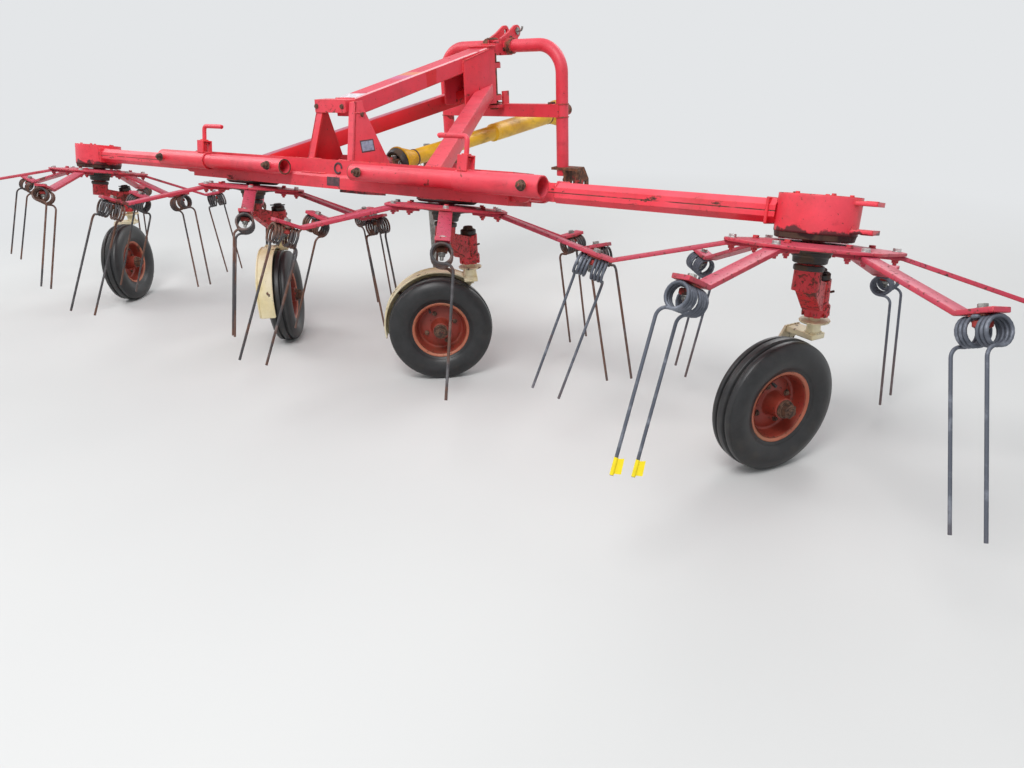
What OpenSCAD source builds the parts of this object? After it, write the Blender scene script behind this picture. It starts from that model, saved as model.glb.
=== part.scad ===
// Hay tedder with four rotors, two folding wings and a swivelling headstock.
// Millimetres. X points to the machine's right, Y forward to the tractor, Z up.
// The floor is Z 0. Beam and rotors lean forward together by tedder_tilt.

/* [Layout] */
// forward lean of beam and rotors, degrees
tedder_tilt = 11; // [0:0.5:18]
// height of an inner disc's centre over the floor
disc_height = 690; // [620:5:760]
// distance between the two inner rotor axes
inner_spacing = 1115; // [1000:5:1400]
// distance from an inner rotor axis to the outer one
outer_spacing = 1300; // [1100:5:1500]
// height of beam, arm and drum centres over the disc, along the rotor axis
beam_rise = 85; // [70:1:120]
// distance of a wing's fold hinge from the middle
hinge_x = 930; // [880:5:960]
// running clearance on the radius of pins and shafts
pin_clearance = 0.05; // [0.02:0.01:0.2]

/* [Beam] */
// height of the centre beam
beam_height = 110; // [90:1:140]
// depth of the beam's upper half, front to rear
beam_depth = 124; // [100:1:160]
// step of the lower half behind the ridge
beam_step = 12; // [4:1:25]
// thickness of a hinge cheek
cheek_thickness = 14; // [8:1:20]
// radius of the rounded hinge ends
knuckle_radius = 40; // [30:1:50]
// radius of a fold hinge pin
hinge_pin_radius = 15; // [10:0.5:20]
// side gap between the hinge tongue and a cheek
tongue_gap = 3; // [1:0.5:6]

/* [Wing] */
// length of the flat root beyond the hinge
root_length = 115; // [90:1:130]
// height of the pressed arm
arm_height = 66; // [50:1:90]
// depth of the pressed arm, front to rear
arm_depth = 104; // [80:1:130]
// radius of a gear housing's drum
drum_radius = 108; // [90:1:130]
// height of a gear housing's drum
drum_height = 100; // [80:1:130]
// reach of the two lugs outside an outer drum
lug_reach = 46; // [20:1:70]

/* [Struts] */
// distance of a strut's inner bolt from the middle
strut_inner_x = 258; // [200:1:400]
// distance of a strut's outer bolt from the middle
strut_outer_x = 996; // [970:1:1100]
// distance of the strut's line behind the beam's centre
strut_back = 120; // [100:1:180]
// height of the strut's line over the beam's centre
strut_up = 14; // [0:1:40]
// radius of the sliding tube
strut_tube_radius = 30; // [22:0.5:34]
// radius of the outer tube
strut_case_radius = 36; // [28:0.5:42]
// distance from the middle to the outer tube's inner end
strut_split_x = 700; // [600:5:800]

/* [Rotor] */
// radius of the rotor disc
disc_radius = 235; // [200:1:260]
// thickness of the pressed plates
plate = 6; // [4:0.5:10]
// radius of the fixed axle through a rotor
axle_radius = 30; // [20:0.5:40]
// radius of the bend at an arm's end, from the rotor axis
arm_bend_radius = 538; // [480:1:560]
// drop of that bend under the disc
arm_drop = 85; // [60:1:120]
// width of a rotor arm
arm_width = 46; // [35:1:60]
// length of the tab that carries a tine
tab_length = 95; // [70:1:110]
// rise of the tab, degrees
tab_rise = 15; // [0:1:30]

/* [Tines] */
// diameter of the spring wire
wire = 8.6; // [7:0.1:11]
// outside radius of a coil
coil_radius = 35; // [28:0.5:40]
// number of turns in a coil
coil_turns = 5; // [3:1:7]
// length of a straight leg
leg_length = 368; // [300:1:420]
// outward lean of the legs, degrees
leg_lean = 15; // [5:1:25]
// radius of the bend under a coil
leg_bend = 24; // [15:1:40]

/* [Wheels] */
// radius of a tyre
tyre_radius = 205; // [180:1:230]
// width of a tyre
tyre_width = 108; // [90:1:130]
// radius of the rim's outer lip
rim_radius = 118; // [100:1:130]
// distance of the upright spindle ahead of the rotor axis
spindle_ahead = 115; // [80:1:160]
// trail of the wheel behind its spindle
trail = 130; // [90:1:170]
// radius of an upright spindle
spindle_radius = 16; // [12:0.5:22]
// radius of a wheel axle
wheel_axle_radius = 12.5; // [10:0.5:16]

/* [Headstock] */
// distance of the swivel pin ahead of the rotor axes
swivel_y = 1050; // [900:5:1200]
// distance of the hoop ahead of the rotor axes
hoop_y = 1115; // [1000:5:1250]
// distance between the hoop's legs
hoop_width = 700; // [600:5:800]
// height of the hoop's top tube
hoop_top = 1225; // [1100:5:1300]
// radius of the hoop's tube
hoop_tube_radius = 29; // [22:0.5:32]
// radius of the hoop's corner bends
hoop_corner = 125; // [80:5:180]
// distance between the lower link pins
link_spread = 825; // [680:1:870]
// height of the lower link pins
link_height = 600; // [500:5:700]
// radius of a lower link pin's holes
link_hole_radius = 14.25; // [11:0.25:18.5]
// height of the top link pin over the lower ones
mast_height = 690; // [460:5:750]
// radius of the top link pin's holes
top_pin_radius = 12.75; // [9.5:0.25:16]
// radius of the swivel pin
swivel_pin_radius = 20; // [15:0.5:25]

/* [Drive shaft] */
// distance of the rear joint ahead of the rotor axes
drive_rear_y = 330; // [300:5:400]
// height of the rear joint
drive_rear_z = 778; // [740:1:820]
// distance of the front joint ahead of the rotor axes
drive_front_y = 1630; // [1400:5:1750]
// height of the front joint
drive_front_z = 886; // [820:1:950]
// radius of the guard's larger tube
guard_radius = 42; // [35:0.5:50]

/* [Stand] */
// distance of the parking stand left of the middle
stand_x = 500; // [450:5:600]
// radius of the stand's leg
stand_radius = 17; // [12:0.5:25]

/* [Hidden] */
outer_x = inner_spacing / 2 + outer_spacing;
inner_x = inner_spacing / 2;
// columns: x, phase, wheel heading, hand of the spin
SITE_X = 0;
SITE_PHASE = 1;
SITE_HEADING = 2;
SITE_HAND = 3;
SITES = [
  [-outer_x, 9.5, 33, 1],
  [-inner_x, 20.5, 42, -1],
  [inner_x, 9.5, -49, 1],
  [outer_x, 20.5, -28, -1]
];
arm_count = 6;
// middle of the machine's outline, measured from the inner rotors' middle
middle_x = -9.3;
middle_y = 451.4;
mean_coil = coil_radius - wire / 2;
coil_length = coil_turns * (wire - 0.2);
coil_gap = 10;
hinge_knuckle_gap = 5;
red = [0.78, 0.22, 0.25];
dark_red = [0.55, 0.13, 0.14];
black = [0.12, 0.11, 0.11];
steel = [0.55, 0.55, 0.53];
cream = [0.85, 0.78, 0.55];
rust = [0.42, 0.24, 0.16];
yellow = [0.93, 0.78, 0.15];
tine_grey = [0.25, 0.23, 0.24];
$fn = 64;

// Puts the middle of the machine's outline over the origin.
module in_place() {
  translate([-middle_x, -middle_y, 0]) children();
}

// The leaning frame: origin on the inner discs' plane, Z along the rotor axes.
module leaning() {
  translate([0, 0, disc_height]) rotate([-tedder_tilt, 0, 0]) children();
}

module at_site(i) {
  leaning() translate([SITES[i][SITE_X], 0, 0]) children();
}

// Upright frame at a castor's spindle, turned to the wheel's heading.
module at_castor(i) {
  translate([SITES[i][SITE_X], spindle_ahead, 0])
    rotate([0, 0, SITES[i][SITE_HEADING]])
      children();
}

module tube_x(r, x0, x1) {
  translate([x0, 0, 0]) rotate([0, 90, 0]) cylinder(r = r, h = x1 - x0);
}

module rod_y(r, y0, y1) {
  translate([0, y0, 0]) rotate([-90, 0, 0]) cylinder(r = r, h = y1 - y0);
}

// A plate in the XZ plane, its outline drawn in x and z, between y0 and y1.
module plate_xz(y0, y1) {
  translate([0, y1, 0]) rotate([90, 0, 0]) linear_extrude(y1 - y0) children();
}

// A plate in the YZ plane, its outline drawn in y and z, between x0 and x1.
module plate_yz(x0, x1) {
  translate([x0, 0, 0]) rotate([90, 0, 90]) linear_extrude(x1 - x0) children();
}

// Centre beam.

beam_end = hinge_x - knuckle_radius - hinge_knuckle_gap;
tongue_half = beam_depth / 2 - cheek_thickness - tongue_gap;
strut_pin_radius = 12;
boss_radius = 20;
bolt_gap = 4;

module beam_section() {
  half = beam_height / 2;
  polygon([
    [-beam_depth / 2, half],
    [beam_depth / 2, half],
    [beam_depth / 2, -half],
    [-beam_depth / 2 - beam_step, -half],
    [-beam_depth / 2 - beam_step, -beam_step],
    [-beam_depth / 2, 0]
  ]);
}

module hinge_cheeks(side) {
  for (s = [-1, 1]) {
    y0 = s * beam_depth / 2;
    y1 = s * (beam_depth / 2 - cheek_thickness);
    plate_xz(min(y0, y1), max(y0, y1)) {
      translate([side * hinge_x, 0]) circle(r = knuckle_radius);
      translate([side * (hinge_x + beam_end) / 2 - (hinge_x - beam_end) / 2,
                 -knuckle_radius])
        square([hinge_x - beam_end, 2 * knuckle_radius]);
    }
  }
  translate([side * hinge_x, 0, 0])
    rod_y(hinge_pin_radius, -beam_depth / 2 - 8, beam_depth / 2 + 8);
}

module strut_boss(side) {
  translate([side * strut_inner_x, 0, strut_up])
    rod_y(strut_pin_radius, -strut_back - strut_tube_radius - 8, -beam_depth / 2);
  translate([side * strut_inner_x, 0, strut_up])
    rod_y(boss_radius, -strut_back + strut_tube_radius + 3, -beam_depth / 2);
}

module centre_beam() {
  color(red) leaning() translate([0, 0, beam_rise]) {
    plate_yz(-beam_end, beam_end) beam_section();
    for (side = [-1, 1]) {
      hinge_cheeks(side);
      strut_boss(side);
    }
  }
}

// Tower, boom, braces and post.

tower_base_z = 700;
tower_top_z = 1020;
tower_half = 112;
column_width = 36;
tower_rear_top = 20;
tower_rear_base = -10;
boom_width = 110;
boom_height = 80;
post_rear = 945;
post_front = 1005;

module above_beam() {
  difference() {
    children();
    leaning() translate([-tower_half * 2, -300, -300])
      cube([tower_half * 4, 900, 300 + beam_rise + beam_height / 2]);
  }
}

module column_profile() {
  polygon([
    [tower_rear_base, tower_base_z],
    [tower_rear_top, tower_top_z],
    [tower_rear_top + 62, tower_top_z],
    [beam_depth / 2 + 30, tower_base_z]
  ]);
}

module tower() {
  color(red) above_beam() {
    for (s = [-1, 1]) {
      x0 = s * tower_half;
      x1 = s * (tower_half - column_width);
      plate_yz(min(x0, x1), max(x0, x1)) column_profile();
    }
  }
  color(red) plate_yz(-tower_half, tower_half)
    polygon([
      [tower_rear_top, tower_top_z],
      [tower_rear_top + 8, tower_top_z + 24],
      [tower_rear_top + 62, tower_top_z + 24],
      [tower_rear_top + 62, tower_top_z]
    ]);
}

boom_rear_y = tower_rear_top + 62;
boom_rear_z = 1000;
boom_front_z = 1180;

module boom_profile() {
  polygon([
    [boom_rear_y, boom_rear_z - boom_height / 2],
    [boom_rear_y, boom_rear_z + boom_height / 2],
    [post_rear, boom_front_z + boom_height / 2],
    [post_rear, boom_front_z - boom_height / 2]
  ]);
}

module top_boom() {
  color(red) {
    plate_yz(-boom_width / 2, boom_width / 2) boom_profile();
    for (s = [-1, 1]) {
      x0 = s * boom_width / 2;
      x1 = s * (boom_width / 2 + 8);
      plate_yz(min(x0, x1), max(x0, x1))
        polygon([
          [post_rear - 190, 1085],
          [post_rear - 190, 1175],
          [post_rear, 1225],
          [post_rear, 1060]
        ]);
    }
  }
}

brace_size = 50;
brace_foot_x = 450;
brace_foot_y = 90;
brace_foot_z = 812;
brace_head_x = 30;
brace_head_z = 1035;

// A square tube from the post's foot down to the beam.
module brace(side) {
  run = [side * (brace_foot_x - brace_head_x), brace_foot_y - post_rear,
         brace_foot_z - brace_head_z];
  flat = norm([run[0], run[1]]);
  difference() {
    translate([side * brace_head_x, post_rear, brace_head_z])
      rotate([0, 0, atan2(run[1], run[0])])
        rotate([0, atan2(-run[2], flat), 0])
          translate([-60, -brace_size / 2, -brace_size / 2])
            cube([norm(run) + 120, brace_size, brace_size]);
    translate([-400, post_rear, 700]) cube([800, 400, 700]);
    leaning() translate([-hinge_x, -500, beam_rise - 400])
      cube([2 * hinge_x, 500 + beam_depth / 2, 400 + beam_height / 2]);
    leaning() translate([-hinge_x, -500, beam_rise])
      cube([2 * hinge_x, 500, 400]);
    translate([side < 0 ? 0 : -100, 600, 900]) cube([100, 400, 300]);
  }
}

module brace_left() {
  color(red) brace(-1);
}

module brace_right() {
  color(red) brace(1);
}

ear_thickness = 24;
upper_ear_z = 1130;
lower_ear_z = 985;

module front_post() {
  color(red) difference() {
    union() {
      translate([-50, post_rear, 975])
        cube([100, post_front - post_rear, 250]);
      for (z = [lower_ear_z, upper_ear_z])
        translate([0, 0, z]) linear_extrude(ear_thickness) {
          translate([0, swivel_y]) circle(r = 38);
          translate([-38, post_front - 1])
            square([76, swivel_y - post_front + 1]);
        }
    }
    translate([0, swivel_y, 900])
      cylinder(r = swivel_pin_radius + pin_clearance, h = 400);
  }
}

// Gearboxes.

drive_pitch = atan2(drive_front_z - drive_rear_z, drive_front_y - drive_rear_y);

stub_radius = 20;
gearbox_half = tower_half - column_width - 4;

module on_drive_line() {
  translate([0, drive_rear_y, drive_rear_z])
    rotate([drive_pitch, 0, 0])
      children();
}

module gearbox() {
  color(dark_red) difference() {
    union() {
      leaning() translate([-gearbox_half, beam_depth / 2, beam_rise - 70])
        cube([2 * gearbox_half, 120, 150]);
      on_drive_line() rod_y(58, -150, -72);
      on_drive_line() rod_y(44, -150, -55);
    }
    leaning() translate([-200, -400, beam_rise - 200])
      cube([400, 400 + beam_depth / 2, 400]);
    on_drive_line() rod_y(stub_radius + pin_clearance, -90, 0);
  }
}

module inner_housing(i) {
  at_site(i) {
    translate([0, 0, 18]) cylinder(r = 76, h = beam_rise - beam_height / 2 - 18);
    translate([0, 0, 24])
      cylinder(r = drum_radius, h = beam_rise - beam_height / 2 - 24);
  }
}

module outer_housing(i) {
  side = SITES[i][SITE_X] > 0 ? 1 : -1;
  low = beam_rise - drum_height / 2;
  at_site(i) {
    translate([0, 0, 18]) cylinder(r = 76, h = low - 18);
    difference() {
      union() {
        translate([0, 0, low]) cylinder(r = drum_radius, h = drum_height);
        for (z = [low + 8, low + drum_height - 20])
          translate([side > 0 ? 0 : -drum_radius - lug_reach, -45, z])
            cube([drum_radius + lug_reach, 90, 12]);
      }
      for (z = [low + 8, low + drum_height - 20])
        translate([side * (drum_radius + lug_reach - 22), 0, z - 1])
          cylinder(r = 10, h = 14);
    }
  }
}

module housing_inner_left() {
  color(dark_red) inner_housing(1);
}

module housing_inner_right() {
  color(dark_red) inner_housing(2);
}

module housing_outer_left() {
  color(red) outer_housing(0);
}

module housing_outer_right() {
  color(red) outer_housing(3);
}

// Legs: the fixed axle through a rotor, the post, the arm and spindle clamp.

clamp_radius = 33;
clamp_low = 462;
clamp_high = 570;
collar_notches = 8;
post_radius = 37;

module castellated_collar() {
  difference() {
    translate([0, spindle_ahead, clamp_low]) cylinder(r = 39, h = 30);
    for (n = [0 : collar_notches - 1])
      translate([0, spindle_ahead, clamp_low])
        rotate([0, 0, n * 360 / collar_notches])
          translate([28, -6, -1])
            cube([20, 12, 15]);
  }
}

module leg(i) {
  translate([SITES[i][SITE_X], 0, 0]) difference() {
    union() {
      leaning() {
        translate([0, 0, -60]) cylinder(r = axle_radius, h = 78);
        translate([0, 0, -122]) cylinder(r = post_radius, h = 72);
      }
      plate_yz(-27, 27)
        polygon([
          [-18, 606],
          [spindle_ahead, 560],
          [spindle_ahead, 478],
          [60, 492],
          [-28, 572]
        ]);
      translate([0, spindle_ahead, clamp_low])
        cylinder(r = clamp_radius, h = clamp_high - clamp_low);
      castellated_collar();
    }
    translate([0, spindle_ahead, clamp_low - 10])
      cylinder(r = spindle_radius + pin_clearance, h = 200);
  }
}

module leg_inner_left() {
  color(red) leg(1);
}

module leg_inner_right() {
  color(red) leg(2);
}

module leg_outer_left() {
  color(red) leg(0);
}

module leg_outer_right() {
  color(red) leg(3);
}

// Wings.

wing_start = hinge_x + root_length;
wing_end = outer_x - drum_radius + 8;

module arm_section(h, d) {
  polygon([
    [-d / 2, h * 0.24],
    [-d * 0.32, h / 2],
    [d * 0.32, h / 2],
    [d / 2, h * 0.24],
    [d / 2, -h * 0.24],
    [d * 0.32, -h / 2],
    [-d * 0.32, -h / 2],
    [-d / 2, -h * 0.24]
  ]);
}

module wing_arm(side) {
  leaning() translate([0, 0, beam_rise]) difference() {
    union() {
      plate_xz(-tongue_half, tongue_half) {
        translate([side * hinge_x, 0]) circle(r = knuckle_radius - 5);
        translate([side > 0 ? hinge_x : -wing_start, -30])
          square([root_length, 60]);
      }
      translate([side * strut_outer_x, 0, strut_up])
        rod_y(boss_radius, -beam_depth / 2 - bolt_gap + 1, -tongue_half + 4);
      plate_yz(side > 0 ? wing_start : -wing_end,
               side > 0 ? wing_end : -wing_start)
        arm_section(arm_height, arm_depth);
    }
    translate([side * hinge_x, 0, 0])
      rod_y(hinge_pin_radius + pin_clearance, -100, 100);
    translate([side * outer_x, 0, -drum_height])
      cylinder(r = drum_radius, h = 2 * drum_height);
  }
}

module wing_arm_left() {
  color(red) wing_arm(-1);
}

module wing_arm_right() {
  color(red) wing_arm(1);
}

// Locking struts behind the beam.

strut_overlap = 185;

module on_strut() {
  leaning() translate([0, -strut_back, beam_rise + strut_up]) children();
}

module strut_tube(side) {
  on_strut() difference() {
    tube_x(strut_tube_radius,
           side > 0 ? strut_inner_x - 62 : -strut_split_x - strut_overlap,
           side > 0 ? strut_split_x + strut_overlap : -strut_inner_x + 62);
    tube_x(strut_tube_radius - 5,
           side > 0 ? strut_inner_x - 63 : -strut_split_x - strut_overlap - 1,
           side > 0 ? strut_split_x + strut_overlap + 1 : -strut_inner_x + 63);
    translate([side * strut_inner_x, 0, 0])
      rod_y(strut_pin_radius + pin_clearance, -50, 50);
  }
}

module strut_case(side) {
  x_in = strut_split_x;
  x_out = strut_outer_x + 50;
  on_strut() {
    difference() {
      union() {
        tube_x(strut_case_radius, side > 0 ? x_in : -x_out,
               side > 0 ? x_out : -x_in);
        translate([side > 0 ? x_in + 4 : -x_in - 74, -26, 20])
          cube([70, 52, 36]);
      }
      tube_x(strut_tube_radius + pin_clearance,
             side > 0 ? x_in - 1 : -x_out - 1,
             side > 0 ? x_out + 1 : -x_in + 1);
    }
    translate([side * strut_outer_x, 0, 0])
      rod_y(strut_pin_radius, -48, strut_back - beam_depth / 2 - bolt_gap);
    translate([side * (x_in + 30), 0, 40]) cylinder(r = 8, h = 50);
    translate([side * (x_in + 30), 0, 84]) tube_x(7, -34, 8);
  }
}

module strut_tube_left() {
  color(red) strut_tube(-1);
}

module strut_tube_right() {
  color(red) strut_tube(1);
}

module strut_case_left() {
  color(red) strut_case(-1);
}

module strut_case_right() {
  color(red) strut_case(1);
}

// Rotors.

hub_radius = 46;
arm_root = 120;
arm_top = 14;
arm_slope = atan2(arm_drop - arm_top, arm_bend_radius - arm_root);
bolt_circle = 200;

tab_thickness = plate + 2;
arm_length = norm([arm_bend_radius - arm_root, arm_drop - arm_top]);

// An arm's side view: straight and falling, then the tab rising at its end.
module arm_outline() {
  turn = (tab_rise - arm_slope) / 2;
  inside = tab_thickness / cos((tab_rise + arm_slope) / 2);
  polygon([
    [arm_root, -arm_top],
    [arm_bend_radius, -arm_drop],
    [arm_bend_radius + tab_length * cos(tab_rise),
     -arm_drop + tab_length * sin(tab_rise)],
    [arm_bend_radius + tab_length * cos(tab_rise) + tab_thickness * sin(tab_rise),
     -arm_drop + tab_length * sin(tab_rise) - tab_thickness * cos(tab_rise)],
    [arm_bend_radius + inside * sin(turn), -arm_drop - inside * cos(turn)],
    [arm_root, -arm_top - tab_thickness]
  ]);
}

module rotor_arm() {
  plate_xz(-arm_width / 2, arm_width / 2) arm_outline();
  for (s = [-1, 1])
    translate([arm_root, 0, -arm_top]) rotate([0, arm_slope, 0])
      plate_xz(s > 0 ? arm_width / 2 - 5 : -arm_width / 2,
               s > 0 ? arm_width / 2 : 5 - arm_width / 2)
        polygon([
          [2, -3],
          [arm_length - 6, -3],
          [arm_length - 30, -14],
          [arm_length * 0.6, -20],
          [2, -20]
        ]);
  translate([arm_bend_radius, 0, -arm_drop]) rotate([0, -tab_rise, 0])
    translate([tab_length / 2 + 2, 0, -1])
      cylinder(r = 10, h = 9, $fn = 6);
}

// The filling block between the disc's underside and an arm's root.
module arm_saddle() {
  near = arm_root + 4;
  far = disc_radius - 8;
  plate_xz(-arm_width / 2, arm_width / 2)
    polygon([
      [near, -2],
      [far, -2],
      [far, -arm_top - (far - arm_root) * tan(arm_slope) - 3],
      [near, -arm_top - (near - arm_root) * tan(arm_slope) - 3]
    ]);
}

module rotor(i) {
  at_site(i) difference() {
    union() {
      translate([0, 0, -4]) cylinder(r = disc_radius, h = 8);
      translate([0, 0, 3]) cylinder(r1 = disc_radius - 40, r2 = 120, h = 8);
      translate([0, 0, -45]) cylinder(r = hub_radius, h = 50);
      for (n = [0 : arm_count - 1])
        rotate([0, 0, SITES[i][SITE_PHASE] + n * 360 / arm_count]) {
          rotor_arm();
          arm_saddle();
          translate([bolt_circle, 0, 0]) cylinder(r = 10, h = 11, $fn = 6);
        }
    }
    translate([0, 0, -60])
      cylinder(r = axle_radius + pin_clearance, h = 100);
  }
}

module rotor_outer_left() {
  color(red) rotor(0);
}

module rotor_inner_left() {
  color(red) rotor(1);
}

module rotor_inner_right() {
  color(red) rotor(2);
}

module rotor_outer_right() {
  color(red) rotor(3);
}

// Tines: two coils in a row under the tab, a leg from each outer end.

module coil() {
  rotate([0, 90, 0]) difference() {
    cylinder(r = coil_radius, h = coil_length);
    translate([0, 0, -1]) cylinder(r = coil_radius - wire, h = coil_length + 2);
  }
}

module tine_leg(hand) {
  rotate([0, -leg_lean, 0]) {
    rod_y(wire / 2, hand > 0 ? 0 : -12, hand > 0 ? 12 : 0);
    translate([0, hand * 12, -leg_bend])
      rotate([90, 0, 90])
        rotate([0, 0, hand > 0 ? 0 : 90])
          rotate_extrude(angle = 90)
            translate([leg_bend, 0])
              circle(r = wire / 2);
    translate([0, hand * (12 + leg_bend), -leg_bend - leg_length])
      cylinder(r = wire / 2, h = leg_length);
  }
}

module tine(hand) {
  reach = 2 * coil_length + coil_gap;
  start = (tab_length - reach) / 2 + 2;
  translate([arm_bend_radius, 0, -arm_drop]) rotate([0, -tab_rise, 0])
    translate([0, 0, -tab_thickness - coil_radius]) {
      translate([start, 0, 0]) coil();
      translate([start + coil_length + coil_gap, 0, 0]) coil();
      translate([start + coil_length - 2, -14, 6])
        cube([coil_gap + 4, 28, coil_radius - 6]);
      for (x = [start + wire / 2, start + reach - wire / 2])
        translate([x, 0, -mean_coil]) rotate([0, tab_rise, 0])
          tine_leg(hand);
    }
}

module tines(i) {
  at_site(i)
    for (n = [0 : arm_count - 1])
      rotate([0, 0, SITES[i][SITE_PHASE] + n * 360 / arm_count])
        tine(SITES[i][SITE_HAND]);
}

module tines_outer_left() {
  color(tine_grey) tines(0);
}

module tines_inner_left() {
  color(tine_grey) tines(1);
}

module tines_inner_right() {
  color(tine_grey) tines(2);
}

module tines_outer_right() {
  color(tine_grey) tines(3);
}

// Castors and wheels.

side_plate_x = -80;
guard_radius_wheel = 222;
fork_top = 452;

module castor(i) {
  inner = i == 1 || i == 2;
  at_castor(i) {
    translate([0, 0, 400]) cylinder(r = spindle_radius, h = clamp_high - 385);
    translate([0, 0, clamp_high + 2]) cylinder(r = 27, h = 13);
    translate([0, 0, fork_top - 14]) cylinder(r = 42, h = 9);
    translate([side_plate_x, -30, 412]) cube([30 - side_plate_x, 60, 28]);
    difference() {
      plate_yz(side_plate_x - 10, side_plate_x) {
        polygon([
          [-30, 440],
          [30, 440],
          [30, 400],
          [-trail + 34, 205],
          [-trail - 34, 205]
        ]);
        translate([-trail, tyre_radius]) circle(r = 34);
      }
    }
    translate([0, -trail, tyre_radius]) {
      tube_x(wheel_axle_radius, side_plate_x - 10, 66);
      tube_x(22, side_plate_x - 1, -50);
      tube_x(20, 58, 72);
      if (inner) wheel_guard();
    }
  }
}

module wheel_guard() {
  rotate([0, 90, 0]) rotate([0, 0, 140])
    rotate_extrude(angle = 140)
      polygon([
        [90, side_plate_x - 2],
        [guard_radius_wheel, side_plate_x - 2],
        [guard_radius_wheel, -16],
        [guard_radius_wheel - 5, -16],
        [guard_radius_wheel - 5, side_plate_x + 5],
        [90, side_plate_x + 5]
      ]);
}

module castor_outer_left() {
  color(cream) castor(0);
}

module castor_inner_left() {
  color(cream) castor(1);
}

module castor_inner_right() {
  color(cream) castor(2);
}

module castor_outer_right() {
  color(cream) castor(3);
}

module on_wheel(i) {
  at_castor(i) translate([0, -trail, tyre_radius]) rotate([0, 90, 0]) children();
}

tyre_half = tyre_width / 2;

module tyre(i) {
  on_wheel(i) rotate_extrude()
    polygon([
      [rim_radius - 6, -tyre_half * 0.62],
      [rim_radius + 14, -tyre_half * 0.86],
      [rim_radius + 40, -tyre_half],
      [tyre_radius - 30, -tyre_half * 0.96],
      [tyre_radius - 12, -tyre_half * 0.78],
      [tyre_radius - 4, -tyre_half * 0.62],
      [tyre_radius - 2, -tyre_half * 0.4],
      [tyre_radius - 10, -tyre_half * 0.34],
      [tyre_radius - 9, -tyre_half * 0.22],
      [tyre_radius, -tyre_half * 0.16],
      [tyre_radius, tyre_half * 0.16],
      [tyre_radius - 9, tyre_half * 0.22],
      [tyre_radius - 10, tyre_half * 0.34],
      [tyre_radius - 2, tyre_half * 0.4],
      [tyre_radius - 4, tyre_half * 0.62],
      [tyre_radius - 12, tyre_half * 0.78],
      [tyre_radius - 30, tyre_half * 0.96],
      [rim_radius + 40, tyre_half],
      [rim_radius + 14, tyre_half * 0.86],
      [rim_radius - 6, tyre_half * 0.62]
    ]);
}

module tyre_outer_left() {
  color(black) tyre(0);
}

module tyre_inner_left() {
  color(black) tyre(1);
}

module tyre_inner_right() {
  color(black) tyre(2);
}

module tyre_outer_right() {
  color(black) tyre(3);
}

module rim(i) {
  w = tyre_half * 0.62;
  on_wheel(i) rotate_extrude()
    polygon([
      [wheel_axle_radius + pin_clearance, -46],
      [28, -46],
      [28, -12],
      [82, -4],
      [rim_radius - 22, -10],
      [rim_radius - 22, -w + 6],
      [rim_radius - 6, -w],
      [rim_radius - 6, w],
      [rim_radius - 12, w],
      [rim_radius - 28, w - 6],
      [rim_radius - 28, 0],
      [82, 4],
      [28, 8],
      [28, 52],
      [wheel_axle_radius + pin_clearance, 52]
    ]);
}

module rim_outer_left() {
  color(dark_red) rim(0);
}

module rim_inner_left() {
  color(dark_red) rim(1);
}

module rim_inner_right() {
  color(dark_red) rim(2);
}

module rim_outer_right() {
  color(dark_red) rim(3);
}

// Headstock.

hoop_half = hoop_width / 2;
hoop_foot = link_height + 40;

module hoop() {
  color(red) translate([0, hoop_y, 0]) {
    for (s = [-1, 1]) {
      translate([s * hoop_half, 0, hoop_foot])
        cylinder(r = hoop_tube_radius, h = hoop_top - hoop_corner - hoop_foot);
      translate([s * (hoop_half - hoop_corner), 0, hoop_top - hoop_corner])
        rotate([90, 0, 0]) rotate([0, 0, s > 0 ? 0 : 90])
          rotate_extrude(angle = 90)
            translate([hoop_corner, 0])
              circle(r = hoop_tube_radius);
    }
    translate([0, 0, hoop_top])
      tube_x(hoop_tube_radius, -hoop_half + hoop_corner, hoop_half - hoop_corner);
  }
}

channel_low = 908;
channel_high = 966;

module cross_member() {
  color(red) difference() {
    union() {
      translate([-hoop_half, hoop_y - 34, channel_low])
        cube([hoop_width, 50, channel_high - channel_low]);
      translate([0, swivel_y, channel_high - 14]) cylinder(r = 46, h = 14);
      translate([-30, swivel_y, channel_high - 14]) cube([60, 40, 14]);
      translate([22, hoop_y - 30, channel_high - 1]) cube([12, 44, 60]);
    }
    for (s = [-1, 1])
      translate([s * hoop_half, hoop_y, channel_low - 1])
        cylinder(r = hoop_tube_radius, h = 100);
    translate([-hoop_half + 40, hoop_y - 28, channel_low - 1])
      cube([hoop_width - 80, 60, channel_high - channel_low - 5]);
    translate([0, swivel_y, channel_low - 1])
      cylinder(r = swivel_pin_radius, h = 200);
  }
}

module swivel_pin() {
  color(rust) translate([0, swivel_y, channel_high - 22])
    cylinder(r = swivel_pin_radius, h = hoop_top + 30 - channel_high);
}

top_pin_y = hoop_y + 90;
top_pin_z = link_height + mast_height;

module top_link_bracket() {
  color(rust) difference() {
    union() {
      for (s = [-1, 1]) {
        x0 = s * 28;
        x1 = s * 40;
        plate_yz(min(x0, x1), max(x0, x1)) {
          polygon([
            [hoop_y - 44, hoop_top - 40],
            [hoop_y - 44, hoop_top + 34],
            [hoop_y + 20, hoop_top + 60],
            [top_pin_y - 14, top_pin_z + 26],
            [top_pin_y + 10, top_pin_z - 26],
            [hoop_y + 44, hoop_top - 40]
          ]);
          translate([top_pin_y, top_pin_z]) circle(r = 28);
        }
      }
      translate([-40, swivel_y - 30, hoop_top - 30])
        cube([80, hoop_y - swivel_y - 10, 44]);
    }
    translate([0, hoop_y, hoop_top]) tube_x(hoop_tube_radius, -60, 60);
    translate([0, swivel_y, hoop_top - 100])
      cylinder(r = swivel_pin_radius, h = 200);
    translate([0, top_pin_y, top_pin_z]) tube_x(top_pin_radius, -60, 60);
  }
}

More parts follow.
